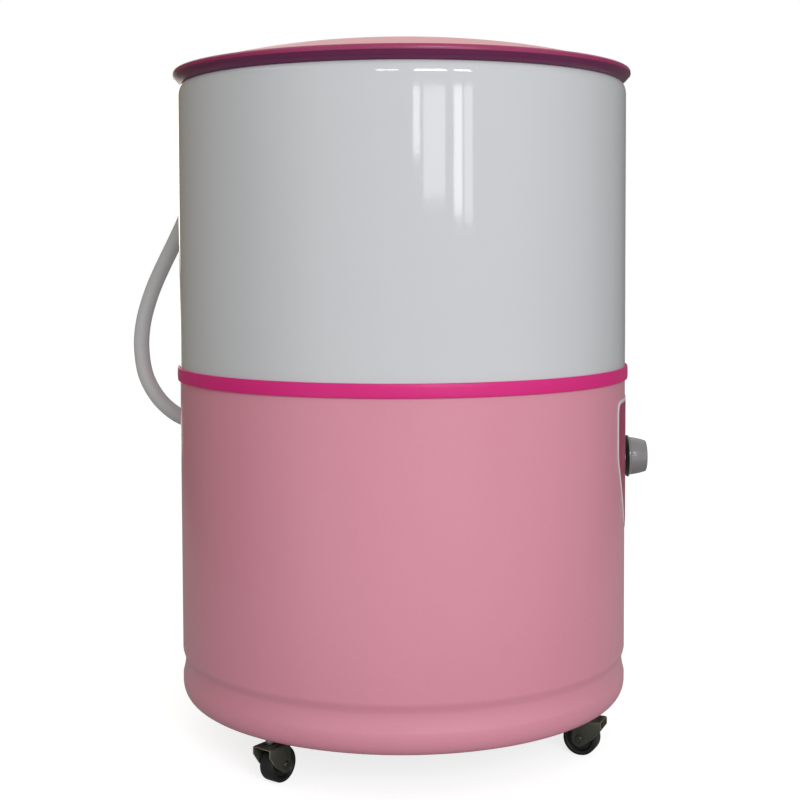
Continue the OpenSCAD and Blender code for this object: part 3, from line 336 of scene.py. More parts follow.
makeFinish("enamelWhite", (207, 210, 214), (203, 205, 208), 2.5, 150, 0.2, (0.04, 0.08), bumpDepth=0.00022,
    stretch=(0.3, 0.3, 1), speck=((186, 188, 186), 60, 0.03, 0.6), coat=(0.4, 0.03))
makeFinish("pinkPaint", (219, 144, 164), (215, 139, 159), 3, 520, 0.07, (0.26, 0.36), bumpDepth=0.0003,
    grain=((226, 154, 172), 0.25), coat=(0.15, 0.15))
makeFinish("magentaTrim", (222, 18, 128), (212, 14, 118), 9, 600, 0.08, (0.32, 0.44))
makeFinish("rimPlastic", (158, 38, 92), (149, 35, 87), 8, 500, 0.06, (0.22, 0.32))
# A darker copy of the rim's finish: painted shade for the rim's downward-facing lower facet
makeFinish("rimPaintedShade", (107, 28, 79), (99, 26, 74), 8, 500, 0.06, (0.24, 0.34), specular=0.4)
makeFinish("lidPink", (233, 145, 152), (228, 139, 145), 5, 700, 0.08, (0.3, 0.42))
makeFinish("pulsatorWhite", (226, 228, 230), (219, 221, 222), 7, 500, 0.08, (0.3, 0.42))
makeFinish("knobGrey", (130, 129, 130), (120, 119, 121), 30, 900, 0.12, (0.2, 0.3), bumpDepth=0.0002,
    coat=(0.6, 0.06))
makeFinish("plateWhite", (222, 222, 224), (214, 214, 217), 14, 900, 0.04, (0.24, 0.34))
makeFinish("plateMagenta", (170, 30, 84), (158, 26, 76), 14, 900, 0.04, (0.24, 0.34))
makeFinish("zincSteel", (172, 174, 176), (152, 156, 160), 60, 400, 0.06, (0.28, 0.42),
    grain=((196, 192, 178), 0.3), metallic=1.0)
makeFinish("stainless", (190, 190, 190), (176, 177, 178), 40, 900, 0.06, (0.2, 0.3), bumpDepth=0.0001,
    stretch=(1, 1, 0.04), metallic=1.0)
makeFinish("castAluminium", (160, 162, 164), (140, 142, 145), 30, 350, 0.3, (0.42, 0.58), bumpDepth=0.0004,
    speck=((112, 114, 116), 500, 0.2, 0.45), metallic=1.0)
makeFinish("bronze", (176, 132, 72), (150, 108, 58), 70, 700, 0.12, (0.34, 0.5), metallic=1.0)
makeFinish("blackRubber", (30, 30, 31), (38, 38, 38), 30, 800, 0.2, (0.62, 0.8), bumpDepth=0.0003)
makeFinish("coreSteel", (98, 100, 104), (82, 80, 78), 40, 300, 0.3, (0.4, 0.58), bumpDepth=0.0003,
    stretch=(1, 1, 0.2), bands=((58, 58, 60), 420, 0.6, "Z", 0), metallic=0.85)
# Black plastic; also put on the knob's back face as painted shade of the gap behind the knob
makeFinish("blackPlasticAndShade", (34, 35, 37), (42, 43, 45), 25, 900, 0.12, (0.4, 0.52))
makeFinish("copperWire", (176, 92, 42), (146, 72, 34), 60, 400, 0.5, (0.3, 0.44), bumpDepth=0.0006,
    bands=((88, 42, 20), 260, 0.7, "DIAGONAL", 1.5), metallic=0.9)
makeFinish("framePaint", (52, 53, 55), (60, 60, 61), 18, 500, 0.14, (0.42, 0.58),
    speck=((112, 74, 48), 120, 0.12, 0.6))
makeFinish("capacitorCase", (214, 215, 217), (204, 205, 207), 20, 600, 0.06, (0.34, 0.44))
makeFinish("timerCase", (206, 200, 180), (196, 190, 170), 22, 700, 0.1, (0.4, 0.52))
makeFinish("drainPlastic", (186, 189, 192), (176, 179, 182), 20, 700, 0.1, (0.36, 0.5))
makeFinish("hoseGrey", (206, 207, 208), (196, 197, 199), 12, 500, 0.14, (0.44, 0.58), bumpDepth=0.0003,
    grain=((214, 215, 216), 0.3))
makeFinish("cuffGrey", (112, 113, 115), (104, 105, 107), 25, 700, 0.12, (0.44, 0.56))
makeFinish("cableBlack", (28, 28, 29), (36, 36, 37), 30, 700, 0.1, (0.46, 0.6))
makeFinish("casterPaint", (68, 72, 62), (80, 84, 72), 70, 650, 0.14, (0.34, 0.5),
    wear=((128, 116, 104), 0.53, 0.62), metallic=0.5)
makeFinish("wornEdge", (150, 146, 132), (108, 107, 95), 160, 650, 0.16, (0.32, 0.46),
    speck=((60, 62, 54), 700, 0.2, 0.45), metallic=0.4)
makeFinish("casterRivet", (96, 98, 94), (80, 82, 78), 120, 900, 0.08, (0.22, 0.34), metallic=0.9)
makeFinish("wheelBlack", (16, 18, 19), (23, 24, 25), 60, 800, 0.14, (0.4, 0.56))
makeFinish("brightSteel", (206, 206, 206), (186, 186, 186), 120, 900, 0.05, (0.2, 0.32), metallic=1.0)
print("finishes made:", len(finishes))


def dress(piece, finish, body, slot, *replaced):
    piece.data.materials.clear()
    piece.data.materials.append(finishes[finish])
    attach(piece, body)
    if replaced:
        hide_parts(*replaced)
    return piece


# Gives some faces of a dressed piece another finish
def secondFinish(piece, finish, test):
    piece.data.materials.append(finishes[finish])
    for face in piece.data.polygons:
        if test(face):
            face.material_index = 1


# Drain hose, along the CAD route. Each point: angle from the outlet, distance out from the wall,
# height above the outlet.

hoseSettings = {
    "outlet": (68, 265, 359.9),
    "route": [
        (0, 5, 0), (0, 18.5, 0.5), (0, 34, 3.5), (0, 53.5, 11.5), (0, 73, 26),
        (0, 88, 45), (0, 97, 65.5), (0, 100.8, 92), (0, 100, 113), (0, 96, 134),
        (0, 89, 155), (0, 80, 176), (0, 69, 197), (0, 57, 218), (0, 45, 239),
        (-0.5, 35, 261), (-1.5, 30.5, 281.5), (-4, 24.5, 304), (-7, 20.5, 319), (-11, 18.5, 331),
        (-15.5, 16.5, 338), (-20.5, 16, 339), (-25.5, 16, 333.5), (-29.5, 17.5, 323), (-33, 19, 307.5),
        (-35.5, 19.5, 290), (-37, 20, 272.5), (-38, 19.5, 252), (-38.5, 19, 230), (-38, 17, 200),
        (-38, 16, 170), (-38, 16, 125), (-38, 16, 80), (-38, 16, 35), (-38, 16, -15)],
    "diameter": 0.02,
    "between": 4,         # extra points between two of the route
}


# Points on a smooth (Catmull-Rom) line through the route
def smoothRoute(points, between):
    path = []
    for i in range(len(points) - 1):
        before = points[max(i - 1, 0)]
        here, there = points[i], points[i + 1]
        after = points[min(i + 2, len(points) - 1)]
        for k in range(between):
            t = k / between
            path.append(0.5 * (2 * here + (there - before) * t
                               + (2 * before - 5 * here + 4 * there - after) * t * t
                               + (3 * here - before - 3 * there + after) * t ** 3))
    path.append(points[-1])
    return path


def pathLength(path):
    return sum((b - a).length for a, b in zip(path, path[1:]))


def makeCable(name, path, diameter):
    line = bpy.data.curves.new(name, "CURVE")
    line.dimensions = "3D"
    line.bevel_depth = diameter / 2
    line.bevel_resolution = 5
    line.use_fill_caps = True
    spline = line.splines.new("POLY")
    spline.points.add(len(path) - 1)
    for point, co in zip(spline.points, path):
        point.co = (*co, 1)
    spline.use_smooth = True
    cable = bpy.data.objects.new(name, line)
    bpy.context.scene.collection.objects.link(cable)
    return cable


hoseRoute = [polar(*(a + b for a, b in zip(hoseSettings["outlet"], p))) for p in hoseSettings["route"]]
hosePath = smoothRoute(hoseRoute, hoseSettings["between"])
hose = dress(makeCable("drainHose", hosePath, hoseSettings["diameter"]),
             "hoseGrey", "cabinet", "hose_grey", "drain_hose")
print("hose laid:", round(pathLength(hosePath), 4), "m")


# Where the four casters stand, used for the skirt's holes too
casterSettings = {
    "angles": (244.7, 142.5, 37.5, 295.3), "circle": 239.0, "wheel": 20.0, "wheelHalf": 9.75, "hubHalf": 10.0,
    "axle": 3.0, "trail": 12.0, "top": 43.5, "nose": 14.0, "lobe": 8.5, "half": 13.0, "steel": 2.0,
    "pin": 3.5, "play": 0.04,      # play between pin or axle and what turns on it
    "bodyLow": 34.5, "noseRound": 4.5, "noseHeight": 36.0, "bellyScale": 1.8, "bellyAt": (-1.2, 27.4),
    "topRound": 2.4, "edge": 0.4,
    "axleSteps": 40, "wheelSteps": 72, "capRound": 1.1, "treadRound": 2.8,
}

# Body: tub, skirt, band, rim

bodySettings = {
    "radius": 265.0, "sheet": 1.2, "steps": 192, "roundSteps": 12, "shoulderSteps": 10,
    "tubRing": 60.0, "tubRings": 5, "skirtRings": (180, 270, 360),      # extra rings up the plain walls
    "seam": 436.4, "neck": 774.1, "neckRadius": 258.7, "shoulder": 15.0, "collar": 10.0,
    "floor": 451.9, "corner": 30.0, "nose": 19.7,
    "base": 53.9, "footRadius": 252.0, "footHeight": 18.0, "flange": 221.5,
    "grooveStart": 78.9, "grooveLow": 19.0, "grooveHeight": 33.0, "grooveHigh": 13.0, "grooveDepth": 3.0,
    "grooveSteps": 10, "timer": 330.55, "outlet": (68, 359.9), "gland": (60, 141.9), "drain": 205.0,
    # radius and depth of what is drilled
    "drainHole": (15.2, 20), "stemHole": (3.8, 12), "screwHole": (2, 30), "screwOff": 15, "screwAt": -0.262,
    "wallDepth": 30, "shaftHole": 6, "outletHole": 8.7, "glandHole": 8,
}


# A hole through the round wall, at an angle and a height
def drillWall(piece, radius, angle, height, s):
    drill(piece, radius, s["wallDepth"], polar(angle, s["radius"], height), (0, 90, angle))


def shoulderPoints(s, wall):
    inset = s["radius"] - s["neckRadius"]
    return arcPoints(s["neckRadius"] - wall, s["neck"] - s["shoulder"], inset, s["shoulder"], 0, 90,
                     s["shoulderSteps"])


def makeTub(s):
    outer, inner = s["radius"], s["radius"] - s["sheet"]
    panRadius, panHeight = inner - s["corner"], s["floor"] + s["sheet"] + s["corner"]
    under = s["corner"] + s["sheet"]
    meet = -math.degrees(math.acos(s["corner"] / under))
    section = [(inner, s["seam"]), (outer, s["seam"])]
    section += [(outer, s["seam"] + s["tubRing"] * k) for k in range(1, s["tubRings"] + 1)]
    section += shoulderPoints(s, 0)
    section += [(s["neckRadius"] - wall, s["neck"] + s["collar"]) for wall in (0, s["sheet"])]
    section += reversed(shoulderPoints(s, s["sheet"]))
    section += arcPoints(panRadius, panHeight, s["corner"], s["corner"], 0, -90, s["roundSteps"])
    section += [(s["nose"], s["floor"] + s["sheet"]), (s["nose"], s["floor"])]
    section += arcPoints(panRadius, panHeight, under, under, -90, meet, s["roundSteps"])
    tub = turned("washTub", section, s["steps"])
    drill(tub, *s["drainHole"], polar(s["outlet"][0], s["drain"], s["floor"]))
    smooth(tub, 40)
    return tub


def groovePoints(s, wall):
    points, steps = [], s["grooveSteps"]
    for i in range(steps + 1):
        u = i / steps
        dip = s["grooveDepth"] * math.sin(math.pi / 2 * u)
        points.append((s["radius"] - wall - dip, s["grooveStart"] + s["grooveLow"] * u))
    for i in range(steps + 1):
        u = 1 - i / steps
        dip = s["grooveDepth"] * (1 - math.cos(math.pi * u)) / 2
        points.append((s["radius"] - wall - dip,
                       s["grooveStart"] + s["grooveHeight"] - s["grooveHigh"] * u))
    return points


def footPoints(s, wall):
    return arcPoints(s["footRadius"], s["base"] + s["footHeight"], s["radius"] - s["footRadius"] - wall,
                     s["footHeight"] - wall, -90, 0, s["roundSteps"])


def makeSkirt(s):
    section = [(s["flange"], s["base"])]
    section += footPoints(s, 0) + groovePoints(s, 0)
    section += [(s["radius"], height) for height in s["skirtRings"]]
    section += [(s["radius"], s["seam"]), (s["radius"] - s["sheet"], s["seam"])]
    section += list(reversed(groovePoints(s, s["sheet"]))) + list(reversed(footPoints(s, s["sheet"])))
    section += [(s["flange"], s["base"] + s["sheet"])]
    skirt = turned("lowerSkirt", section, s["steps"])
    for angle in casterSettings["angles"]:
        drill(skirt, *s["stemHole"], polar(angle, casterSettings["circle"], s["base"]))
    drillWall(skirt, s["shaftHole"], 270, s["timer"], s)
    for side in (-1, 1):
        drill(skirt, *s["screwHole"], (side * s["screwOff"] * mm, s["screwAt"], s["timer"] * mm), (90, 0, 0))
    drillWall(skirt, s["outletHole"], *s["outlet"], s)
    drillWall(skirt, s["glandHole"], *s["gland"], s)
    smooth(skirt, 40)
    return skirt


dress(makeTub(bodySettings), "enamelWhite", "cabinet", "enamel_white", "wash_tub")
dress(makeSkirt(bodySettings), "pinkPaint", "cabinet", "pink_paint", "lower_skirt")
print("tub and skirt turned")

bandSettings = {"inner": 265.0, "thick": 3.2, "middle": 436.4, "height": 15.5, "round": 0.9,
                "setBack": 0.4, "flatHalf": 3, "steps": 192}


def makeBand(s):
    low, high = s["middle"] - s["height"] / 2, s["middle"] + s["height"] / 2
    outer = s["inner"] + s["thick"]
    section = [(s["inner"], low), (outer - s["setBack"], low), (outer, s["middle"] - s["flatHalf"]),
               (outer, s["middle"] + s["flatHalf"]), (outer - s["setBack"], high), (s["inner"], high)]
    band = turned("trimBand", section, s["steps"])
    roundEdges(band, s["round"] * mm, 3, 50)
    return band


dress(makeBand(bandSettings), "magentaTrim", "cabinet", "magenta_trim", "trim_band")

rimSettings = {
    "neck": 774.1, "neckRadius": 258.7, "sheet": 1.2, "gap": 0.2, "lip": 270.2, "low": 8.0, "ridge": 11.5,
    "height": 15.5, "seat": 262.3, "seatDepth": 2.2, "wall": 2.5, "drop": 3.0, "collar": 10.0,
    "belly": 0.7, "bellySteps": 8, "notch": 0.8,      # swell of the lower facet, hollow under the ridge
    "steps": 192, "shadeOut": 0.2592,                 # the lower facet's painted shade starts outside this radius
}


def makeRim(s):
    z = s["neck"]
    crown = s["height"] - s["ridge"]
    slotIn = s["neckRadius"] - s["sheet"] - s["gap"]
    slotOut = s["neckRadius"] + s["gap"]
    opening = slotIn - s["wall"]
    section = [(slotOut, z + 0.2), (slotOut + 1.0, z + 0.1)]
    for i in range(1, s["bellySteps"]):
        u = i / s["bellySteps"]
        swell = s["belly"] * math.sin(math.pi * u)
        section.append((slotOut + 1 + (s["lip"] - 2.4 - slotOut) * u + 0.6 * swell,
                        z + 0.1 + (s["low"] - 0.2) * u - 0.7 * swell))
    section += [(s["lip"] - s["notch"] - 0.6, z + s["low"] + 0.1),
                (s["lip"] - s["notch"], z + s["low"] + 0.6),
                (s["lip"] - 0.15, z + s["low"] + 1.1), (s["lip"], z + s["low"] + 1.6)]
    section += arcPoints(s["lip"] - crown, z + s["ridge"], crown, crown, -10, 90, 10)
    section += [(s["seat"] + 0.6, z + s["height"] - 0.1), (s["seat"], z + s["height"] - 0.6),
                (s["seat"], z + s["height"] - s["seatDepth"]), (opening, z + s["height"] - s["seatDepth"]),
                (opening, z - s["drop"]), (slotIn, z - s["drop"]), (slotIn, z + s["collar"]),
                (slotOut, z + s["collar"])]
    rim = turned("rimRing", section, s["steps"])
    smooth(rim, 45)
    return rim


rim = dress(makeRim(rimSettings), "rimPlastic", "cabinet", "magenta_trim", "rim_ring")
# The rim's downward-facing lower facet gets the darker finish as painted shade
secondFinish(rim, "rimPaintedShade", lambda face: face.normal.z < -0.2
             and math.hypot(*face.center.xy) > rimSettings["shadeOut"])
print("band and rim turned")

# Lid

lidSettings = {
    "radius": 261.8, "base": 788.9, "rise": 32.0, "power": 2.45, "wall": 2.5, "steps": 160, "domeSteps": 26,
    "seat": 787.4, "lipRadius": 254.3, "lipHeight": 12.0, "recess": 62.0, "depth": 24.0,
    "floorRings": (4, 30), "floorRound": 8.0, "shelf": 3.0, "lipIn": 2.5, "seatGap": 0.3,
    "gripWidth": 26.0, "gripThick": 9.0, "gripRound": 2.6, "gripSides": 128,
}


def domeHeight(s, radius):
    return s["base"] + s["rise"] * (1 - (radius / s["radius"]) ** s["power"])


def makeLid(s):
    steps, corner, mouth, seat = s["domeSteps"], s["floorRound"], s["lipIn"], s["seat"] + s["seatGap"]
    underRadius = s["recess"] + s["wall"]
    floor = domeHeight(s, s["recess"]) - s["depth"]
    lipIn = s["lipRadius"] - s["wall"]
    section = [(radius, floor) for radius in (*s["floorRings"], s["recess"] - corner)]
    section += arcPoints(s["recess"] - corner, floor + corner, corner, corner, -90, 0, 6)
    section += [(s["recess"], domeHeight(s, s["recess"]) - s["shelf"])]
    for i in range(1, steps + 1):
        radius = s["recess"] + mouth + (s["radius"] - s["recess"] - mouth) * i / steps
        section.append((radius, domeHeight(s, radius)))
    section += [(s["radius"], seat), (s["lipRadius"], seat), (s["lipRadius"], seat - s["lipHeight"]),
                (lipIn, seat - s["lipHeight"])]
    for i in range(steps + 1):
        radius = lipIn + (underRadius - lipIn) * i / steps
        section.append((radius, domeHeight(s, radius) - s["wall"]))
    section += [(radius, floor - s["wall"]) for radius in (underRadius, *reversed(s["floorRings"]))]
    lid = turned("lid", section, s["steps"], closed=False)
    roundEdges(lid, 0.5 * mm, 2, 55)
    return lid


dress(makeLid(lidSettings), "lidPink", "lid", "lid_pink", "lid")


def makeGrip(s):
    top = domeHeight(s, s["recess"]) - 1
    cylinder(s["recess"], s["gripThick"], (0, 0, (top - s["gripThick"] / 2) * mm), sides=s["gripSides"])
    grip = named("lidGrip")
    applyPlace(grip)
    editAll()
    for side in (-1, 1):      # the bar is what is left between two straight cuts
        selectMesh()
        bpy.ops.mesh.bisect(plane_co=(0, side * s["gripWidth"] / 2 * mm, 0), plane_no=(0, side, 0),
                            clear_outer=True, use_fill=True)
    editDone()
    roundEdges(grip, s["gripRound"] * mm, 5, 50)
    return grip


dress(makeGrip(lidSettings), "lidPink", "lid", "lid_pink", "lid_grip")
print("lid and grip made")

# Control plate and its dial, wrapped round the skirt under the knob

plateSettings = {
    "wall": 265.0, "half": 103.5, "top": 407.55, "low": 254.55, "sideLow": 339.7, "lowHalf": 62.9,
    "topRound": 13.0, "waistRound": 9.0, "lowRound": 13.0, "thick": 0.8, "strips": 22,
    "margin": 3.6, "print": 0.12, "disc": 39.0, "dial": 330.55,
    "slant": 0.8, "narrow": 0.5,      # how much of an inset the low end and the top rounds take
    "drillAt": -0.26, "drillDeep": 60, "shaftHole": 6, "screwHole": 2, "screwOff": 15,
    "tickStep": 20, "tickCount": 16, "tickFrom": 28.0, "tickLong": 3.0, "tickWide": 0.9,
    "numbers": (0, 3, 6, 9, 12, 15), "numberStep": 60, "numberAt": 35.0, "numberTall": 5.6,
}


# Bends a piece made flat at y = 0 onto the wall, where outward is -Y
def wrapped(piece, wall):
    for point in piece.data.vertices:
        point.co.y -= math.sqrt((wall * mm) ** 2 - point.co.x ** 2)
    return piece


# A patch of the wall whose sides lean in below, cut into strips so that it can follow the curve
def wallPatch(name, s, inset, wall, thick):
    half, lowHalf = s["half"] - inset, s["lowHalf"] - inset * s["slant"]
    top, low = s["top"] - inset, s["low"] + inset
    deselectAll()
    bpy.ops.mesh.primitive_plane_add(
        size=1, location=(0, 0, (top + low) / 2 * mm), rotation=(math.pi / 2, 0, 0))
    patch = named(name)
    patch.scale = (2 * half * mm, (top - low) * mm, 1)
    applyPlace(patch)
    editAll()
    bpy.ops.mesh.bisect(plane_co=(0, 0, s["sideLow"] * mm), plane_no=(0, 0, 1))
    editDone()
    pick(patch, "VERT", lambda co: co.z < low + 0.01)
    bpy.ops.transform.resize(value=(lowHalf / half, 1, 1), center_override=(0, 0, low * mm))
    editDone()
    corners = ((top, s["topRound"] - inset * s["narrow"], 8), (s["sideLow"], s["waistRound"], 6),
               (low, s["lowRound"], 10))
    for height, radius, steps in corners:
        pick(patch, "VERT", lambda co: abs(co.z - height) < 0.01 and abs(co.x) > lowHalf - 0.1)
        bpy.ops.mesh.bevel(offset=radius * mm, segments=steps, affect="VERTICES")
        editDone()
    makeActive(patch)
    editAll()
    for i in range(1, s["strips"]):
        selectMesh()
        across = (2 * i / s["strips"] - 1) * half * mm
        bpy.ops.mesh.bisect(plane_co=(across, 0, 0), plane_no=(1, 0, 0))
    editDone()
    wrapped(patch, wall)
    applyModifier(patch, "SOLIDIFY", thickness=thick * mm, offset=1.0)
    editAll()
    bpy.ops.mesh.remove_doubles(threshold=mergeDistance)
    bpy.ops.mesh.normals_make_consistent(inside=False)
    editDone()
    return patch


def makeMark(number, s):
    angle = math.radians(number / s["numbers"][1] * s["numberStep"])
    deselectAll()
    bpy.ops.object.text_add(rotation=(math.pi / 2, 0, 0), location=(
        s["numberAt"] * math.sin(angle) * mm, 0, (s["dial"] + s["numberAt"] * math.cos(angle)) * mm))
    text = bpy.context.object
    text.data.body = str(number)
    text.data.size = s["numberTall"] * mm
    text.data.extrude = s["print"] / 2 * mm
    text.data.resolution_u = 3
    text.data.align_x = "CENTER"
    text.data.align_y = "CENTER"
    bpy.ops.object.convert(target="MESH")
    mark = bpy.context.object
    applyPlace(mark)
    return mark


def makeDial(s):
    tick = block("tick", (-s["tickWide"] / 2, -s["print"] / 2, s["tickFrom"]),
                 (s["tickWide"] / 2, s["print"] / 2, s["tickFrom"] + s["tickLong"]))
    marks = []
    for i in range(s["tickCount"]):
        mark = copyOf(tick, "tick")
        marks.append(place(mark, (0, i * s["tickStep"], 0), (0, 0, s["dial"] * mm)))
    bpy.data.objects.remove(tick, do_unlink=True)
    marks += [makeMark(number, s) for number in s["numbers"]]
    return wrapped(join("dialMarks", marks), s["wall"] + s["thick"] + s["print"] / 2)


def drillPlate(piece, s):
    drill(piece, s["shaftHole"], s["drillDeep"], (0, s["drillAt"], s["dial"] * mm), (90, 0, 0))
    for side in (-1, 1):
        spot = (side * s["screwOff"] * mm, s["drillAt"], s["dial"] * mm)
        drill(piece, s["screwHole"], s["drillDeep"], spot, (90, 0, 0), 24)


plate = wallPatch("controlPlate", plateSettings, 0, plateSettings["wall"], plateSettings["thick"])
drillPlate(plate, plateSettings)
roundEdges(plate, 0.3 * mm, 2, 50)
dress(plate, "plateWhite", "cabinet", "plate_print", "control_plate")
field = wallPatch("plateField", plateSettings, plateSettings["margin"],
                  plateSettings["wall"] + plateSettings["thick"], plateSettings["print"])
drill(field, plateSettings["disc"], plateSettings["drillDeep"],
      (0, plateSettings["drillAt"], plateSettings["dial"] * mm), (90, 0, 0), 96)
smooth(field, 40)
dress(field, "plateMagenta", "cabinet", "plate_print")
dress(makeDial(plateSettings), "plateMagenta", "cabinet", "plate_print")
print("control plate wrapped")

# Timer knob, turned about its shaft and laid towards -Y

knobSettings = {
    "flange": 25.0, "base": 45.0, "face": 38.5, "long": 23.5, "bore": 3.1, "boreDeep": 15.5, "power": 1.6,
    "at": 269.6, "height": 330.55, "dish": 0.7, "pointer": 1.1, "pointerSpan": (3, 13),
    "gripSteps": 7, "gripLow": 4, "faceRound": (2, 2.8), "steps": 96,
}


def makeKnob(s):
    section = [(s["bore"], s["boreDeep"]), (s["bore"], 0), (s["flange"] - 1, 0), (s["flange"], 1),
               (s["flange"], 2.2), (s["flange"] - 0.8, 3), (s["base"] / 2 + 0.5, 3.2)]
    across, down = s["faceRound"]
    for i in range(s["gripSteps"] + 1):
        u = i / s["gripSteps"]
        section.append(((s["base"] - (s["base"] - s["face"]) * u ** s["power"]) / 2,
                        s["gripLow"] + (s["long"] - s["gripLow"] - down) * u))
    section += arcPoints(s["face"] / 2 - across, s["long"] - down, across, down, 10, 90, 6)
    section += [(s["face"] / 2 - 3.4, s["long"]), (s["face"] / 2 - 4.4, s["long"] - s["dish"]),
                (4, s["long"] - s["dish"])]
    knob = turned("timerKnob", section, s["steps"], closed=False)
    smooth(knob, 38)
    return place(knob, (90, 0, 0), (0, -s["at"] * mm, s["height"] * mm))


def makePointer(s):
    front = s["at"] + s["long"]
    low, high = s["pointerSpan"]
    pointer = block("knobPointer", (-s["pointer"], -front + 0.05, s["height"] + low),
                    (s["pointer"], -front + s["dish"] + 0.3, s["height"] + high))
    roundEdges(pointer, 0.35 * mm, 2, 50)
    return pointer


knob = dress(makeKnob(knobSettings), "knobGrey", "timer_dial", "knob_grey", "timer_knob")
# The knob's back face, towards the plate, takes the black finish: painted shade of the gap between knob and
# plate
secondFinish(knob, "blackPlasticAndShade", lambda face: face.normal.y > 0.6)
dress(makePointer(knobSettings), "plateWhite", "timer_dial", "knob_grey")
print("knob made")

# Casters: one fork, axle and wheel are modelled with the swivel pin at the origin, then copied

def makeFork(s):
    hub = (-s["trail"] * mm, 0, s["wheel"] * mm)
    cylinder(s["lobe"], 2 * s["half"], hub, (90, 0, 0), 64)
    lobe = named("lobe")
    body = block("body", (-s["trail"] - 6, -s["half"], s["bodyLow"]), (s["nose"], s["half"], s["top"]))
    cylinder(s["noseRound"], 2 * s["half"], ((s["nose"] - s["noseRound"]) * mm, 0, s["noseHeight"] * mm),
             (90, 0, 0))
    nose = named("noseRound")
    belly = copyOf(nose, "bellyRound")
    belly.scale = (s["bellyScale"], s["bellyScale"], 1)
    belly.location = (s["bellyAt"][0] * mm, 0, s["bellyAt"][1] * mm)
    fork = join("casterFork", [lobe, body, nose, belly])
    applyPlace(fork)
    editAll()
    bpy.ops.mesh.convex_hull()
    selectMesh()
    bpy.ops.mesh.dissolve_limited(angle_limit=math.radians(0.5))
    editDone()
    pick(fork, "EDGE", lambda a, b: min(a.z, b.z) > s["top"] - 0.1)
    bpy.ops.mesh.bevel(offset=s["topRound"] * mm, segments=5, affect="EDGES")
    editDone()
    inner = s["half"] - s["steel"]
    cutWith(fork, block("room", (-60, -inner, -5), (60, inner, s["top"] - s["steel"])))
    drill(fork, s["pin"] + s["play"], 30, (0, 0, s["top"] * mm))
    drill(fork, s["axle"], 60, hub, (90, 0, 0))
    roundEdges(fork, s["edge"] * mm, 2, 50)
    return fork


def makeAxle(s):
    end, head, corner = s["half"] + 1.5, s["axle"] + 1.5, s["capRound"]
    cap = [(head, s["half"] + 0.05), (head, s["half"] + 0.35)]
    cap += arcPoints(head - corner, s["half"] + 0.4, corner, corner, 15, 90, 4) + [(1.4, end)]
    section = [(radius, -height) for radius, height in reversed(cap)]
    section += [(s["axle"], -s["half"] - 0.05), (s["axle"], s["half"] + 0.05)] + cap
    axle = turned("casterAxle", section, s["axleSteps"], closed=False)
    smooth(axle, 40)
    return place(axle, (-90, 0, 0), (-s["trail"] * mm, 0, s["wheel"] * mm))


def makeWheel(s):
    r, half, hub, axle, tread = s["wheel"], s["wheelHalf"], s["hubHalf"], s["axle"], s["treadRound"]
    side = [(axle + s["play"], hub), (axle + 2.6, hub), (axle + 3, hub - 0.4), (axle + 3.5, half - 2.5),
            (r - 6.8, half - 2.7), (r - 5.8, half - 1.8), (r - 5, half - 0.3), (r - 4.4, half)]
    side += arcPoints(r - tread, half - tread, tread, tread, 88, 0, 7)
    section = side + [(radius, -height) for radius, height in reversed(side)]
    wheel = turned("casterWheel", section, s["wheelSteps"])
    smooth(wheel, 38)
    return place(wheel, (-90, 0, 0), (-s["trail"] * mm, 0, s["wheel"] * mm))


masters = [(makeFork(casterSettings), "caster_fork_{}", "caster_{}", "casterPaint", "caster_paint"),
           (makeAxle(casterSettings), "caster_axle_{}", "caster_{}", "casterRivet", "zinc_steel"),
           (makeWheel(casterSettings), "caster_wheel_{}", "roller_{}", "wheelBlack", "wheel_black")]
for master, node, body, finish, slot in masters:
    for i, angle in enumerate(casterSettings["angles"], 1):
        part = copyOf(master, master.name + str(i))
        place(part, (0, 0, angle), polar(angle, casterSettings["circle"]))
        dress(part, finish, body.format(i), slot, node.format(i))
        if finish == "casterPaint":      # the sheet's edge is worn light
            across = Vector((-math.sin(math.radians(angle)), math.cos(math.radians(angle)), 0))
            secondFinish(part, "wornEdge", lambda face: abs(face.normal.dot(across)) < 0.6
                         and -0.95 < face.normal.z < 0.6)
    bpy.data.objects.remove(master, do_unlink=True)
print("casters made")

# Wires and windings in the motor's room

wireSettings = {
    "thick": 0.008, "between": 3,
    "wires": {
        "inletCable": [
            (124.45, 215.54, 141.9), (119.8, 207.3, 142), (109, 204, 143), (90, 215, 146), (60, 228, 152),
            (25, 236, 158), (-15, 236, 163), (-55, 228, 167), (-90, 210, 172), (-120, 180, 178),
            (-142, 145, 186), (-154, 110, 200), (-159, 88, 214), (-160, 72.3, 222), (-160, 58.6, 224)],
        "timerCable": [
            (0, -231.8, 300.25), (0, -231.8, 283.5), (-6, -231, 266.9), (-24, -227, 249.1),
            (-54, -212, 235.4), (-90, -186, 226), (-120, -155, 221), (-142, -122, 219), (-155, -95, 220),
            (-160, -75.3, 223), (-160, -58.6, 224)]},
    "tieEvery": 4, "tieRadius": 1.05,      # a tie's radius, over the wire's
}


# A ring tied round a wire
def makeTie(name, at, along, radius):
    deselectAll()
    bpy.ops.mesh.primitive_torus_add(
        major_radius=radius, minor_radius=radius * 0.2, major_segments=24, minor_segments=6, location=at,
        rotation=along.to_track_quat("Z", "Y").to_euler())
    tie = named(name)
    applyPlace(tie)
    return tie


def makeHarness(s):
    parts = []
    for name, route in s["wires"].items():
        path = smoothRoute([Vector(point) * mm for point in route], s["between"])
        wire = makeCable(name, path, s["thick"])
        makeActive(wire)
        bpy.ops.object.convert(target="MESH")
        parts.append(bpy.context.object)
        for i in range(2, len(route) - 2, s["tieEvery"]):
            k = i * s["between"]
            parts.append(makeTie("tie", path[k], path[k + 1] - path[k - 1], s["thick"] / 2 * s["tieRadius"]))
    harness = join("wiringHarness", parts)
    smooth(harness, 40)
    return harness


dress(makeHarness(wireSettings), "cableBlack", "cabinet", "cable_black", "wiring_harness")

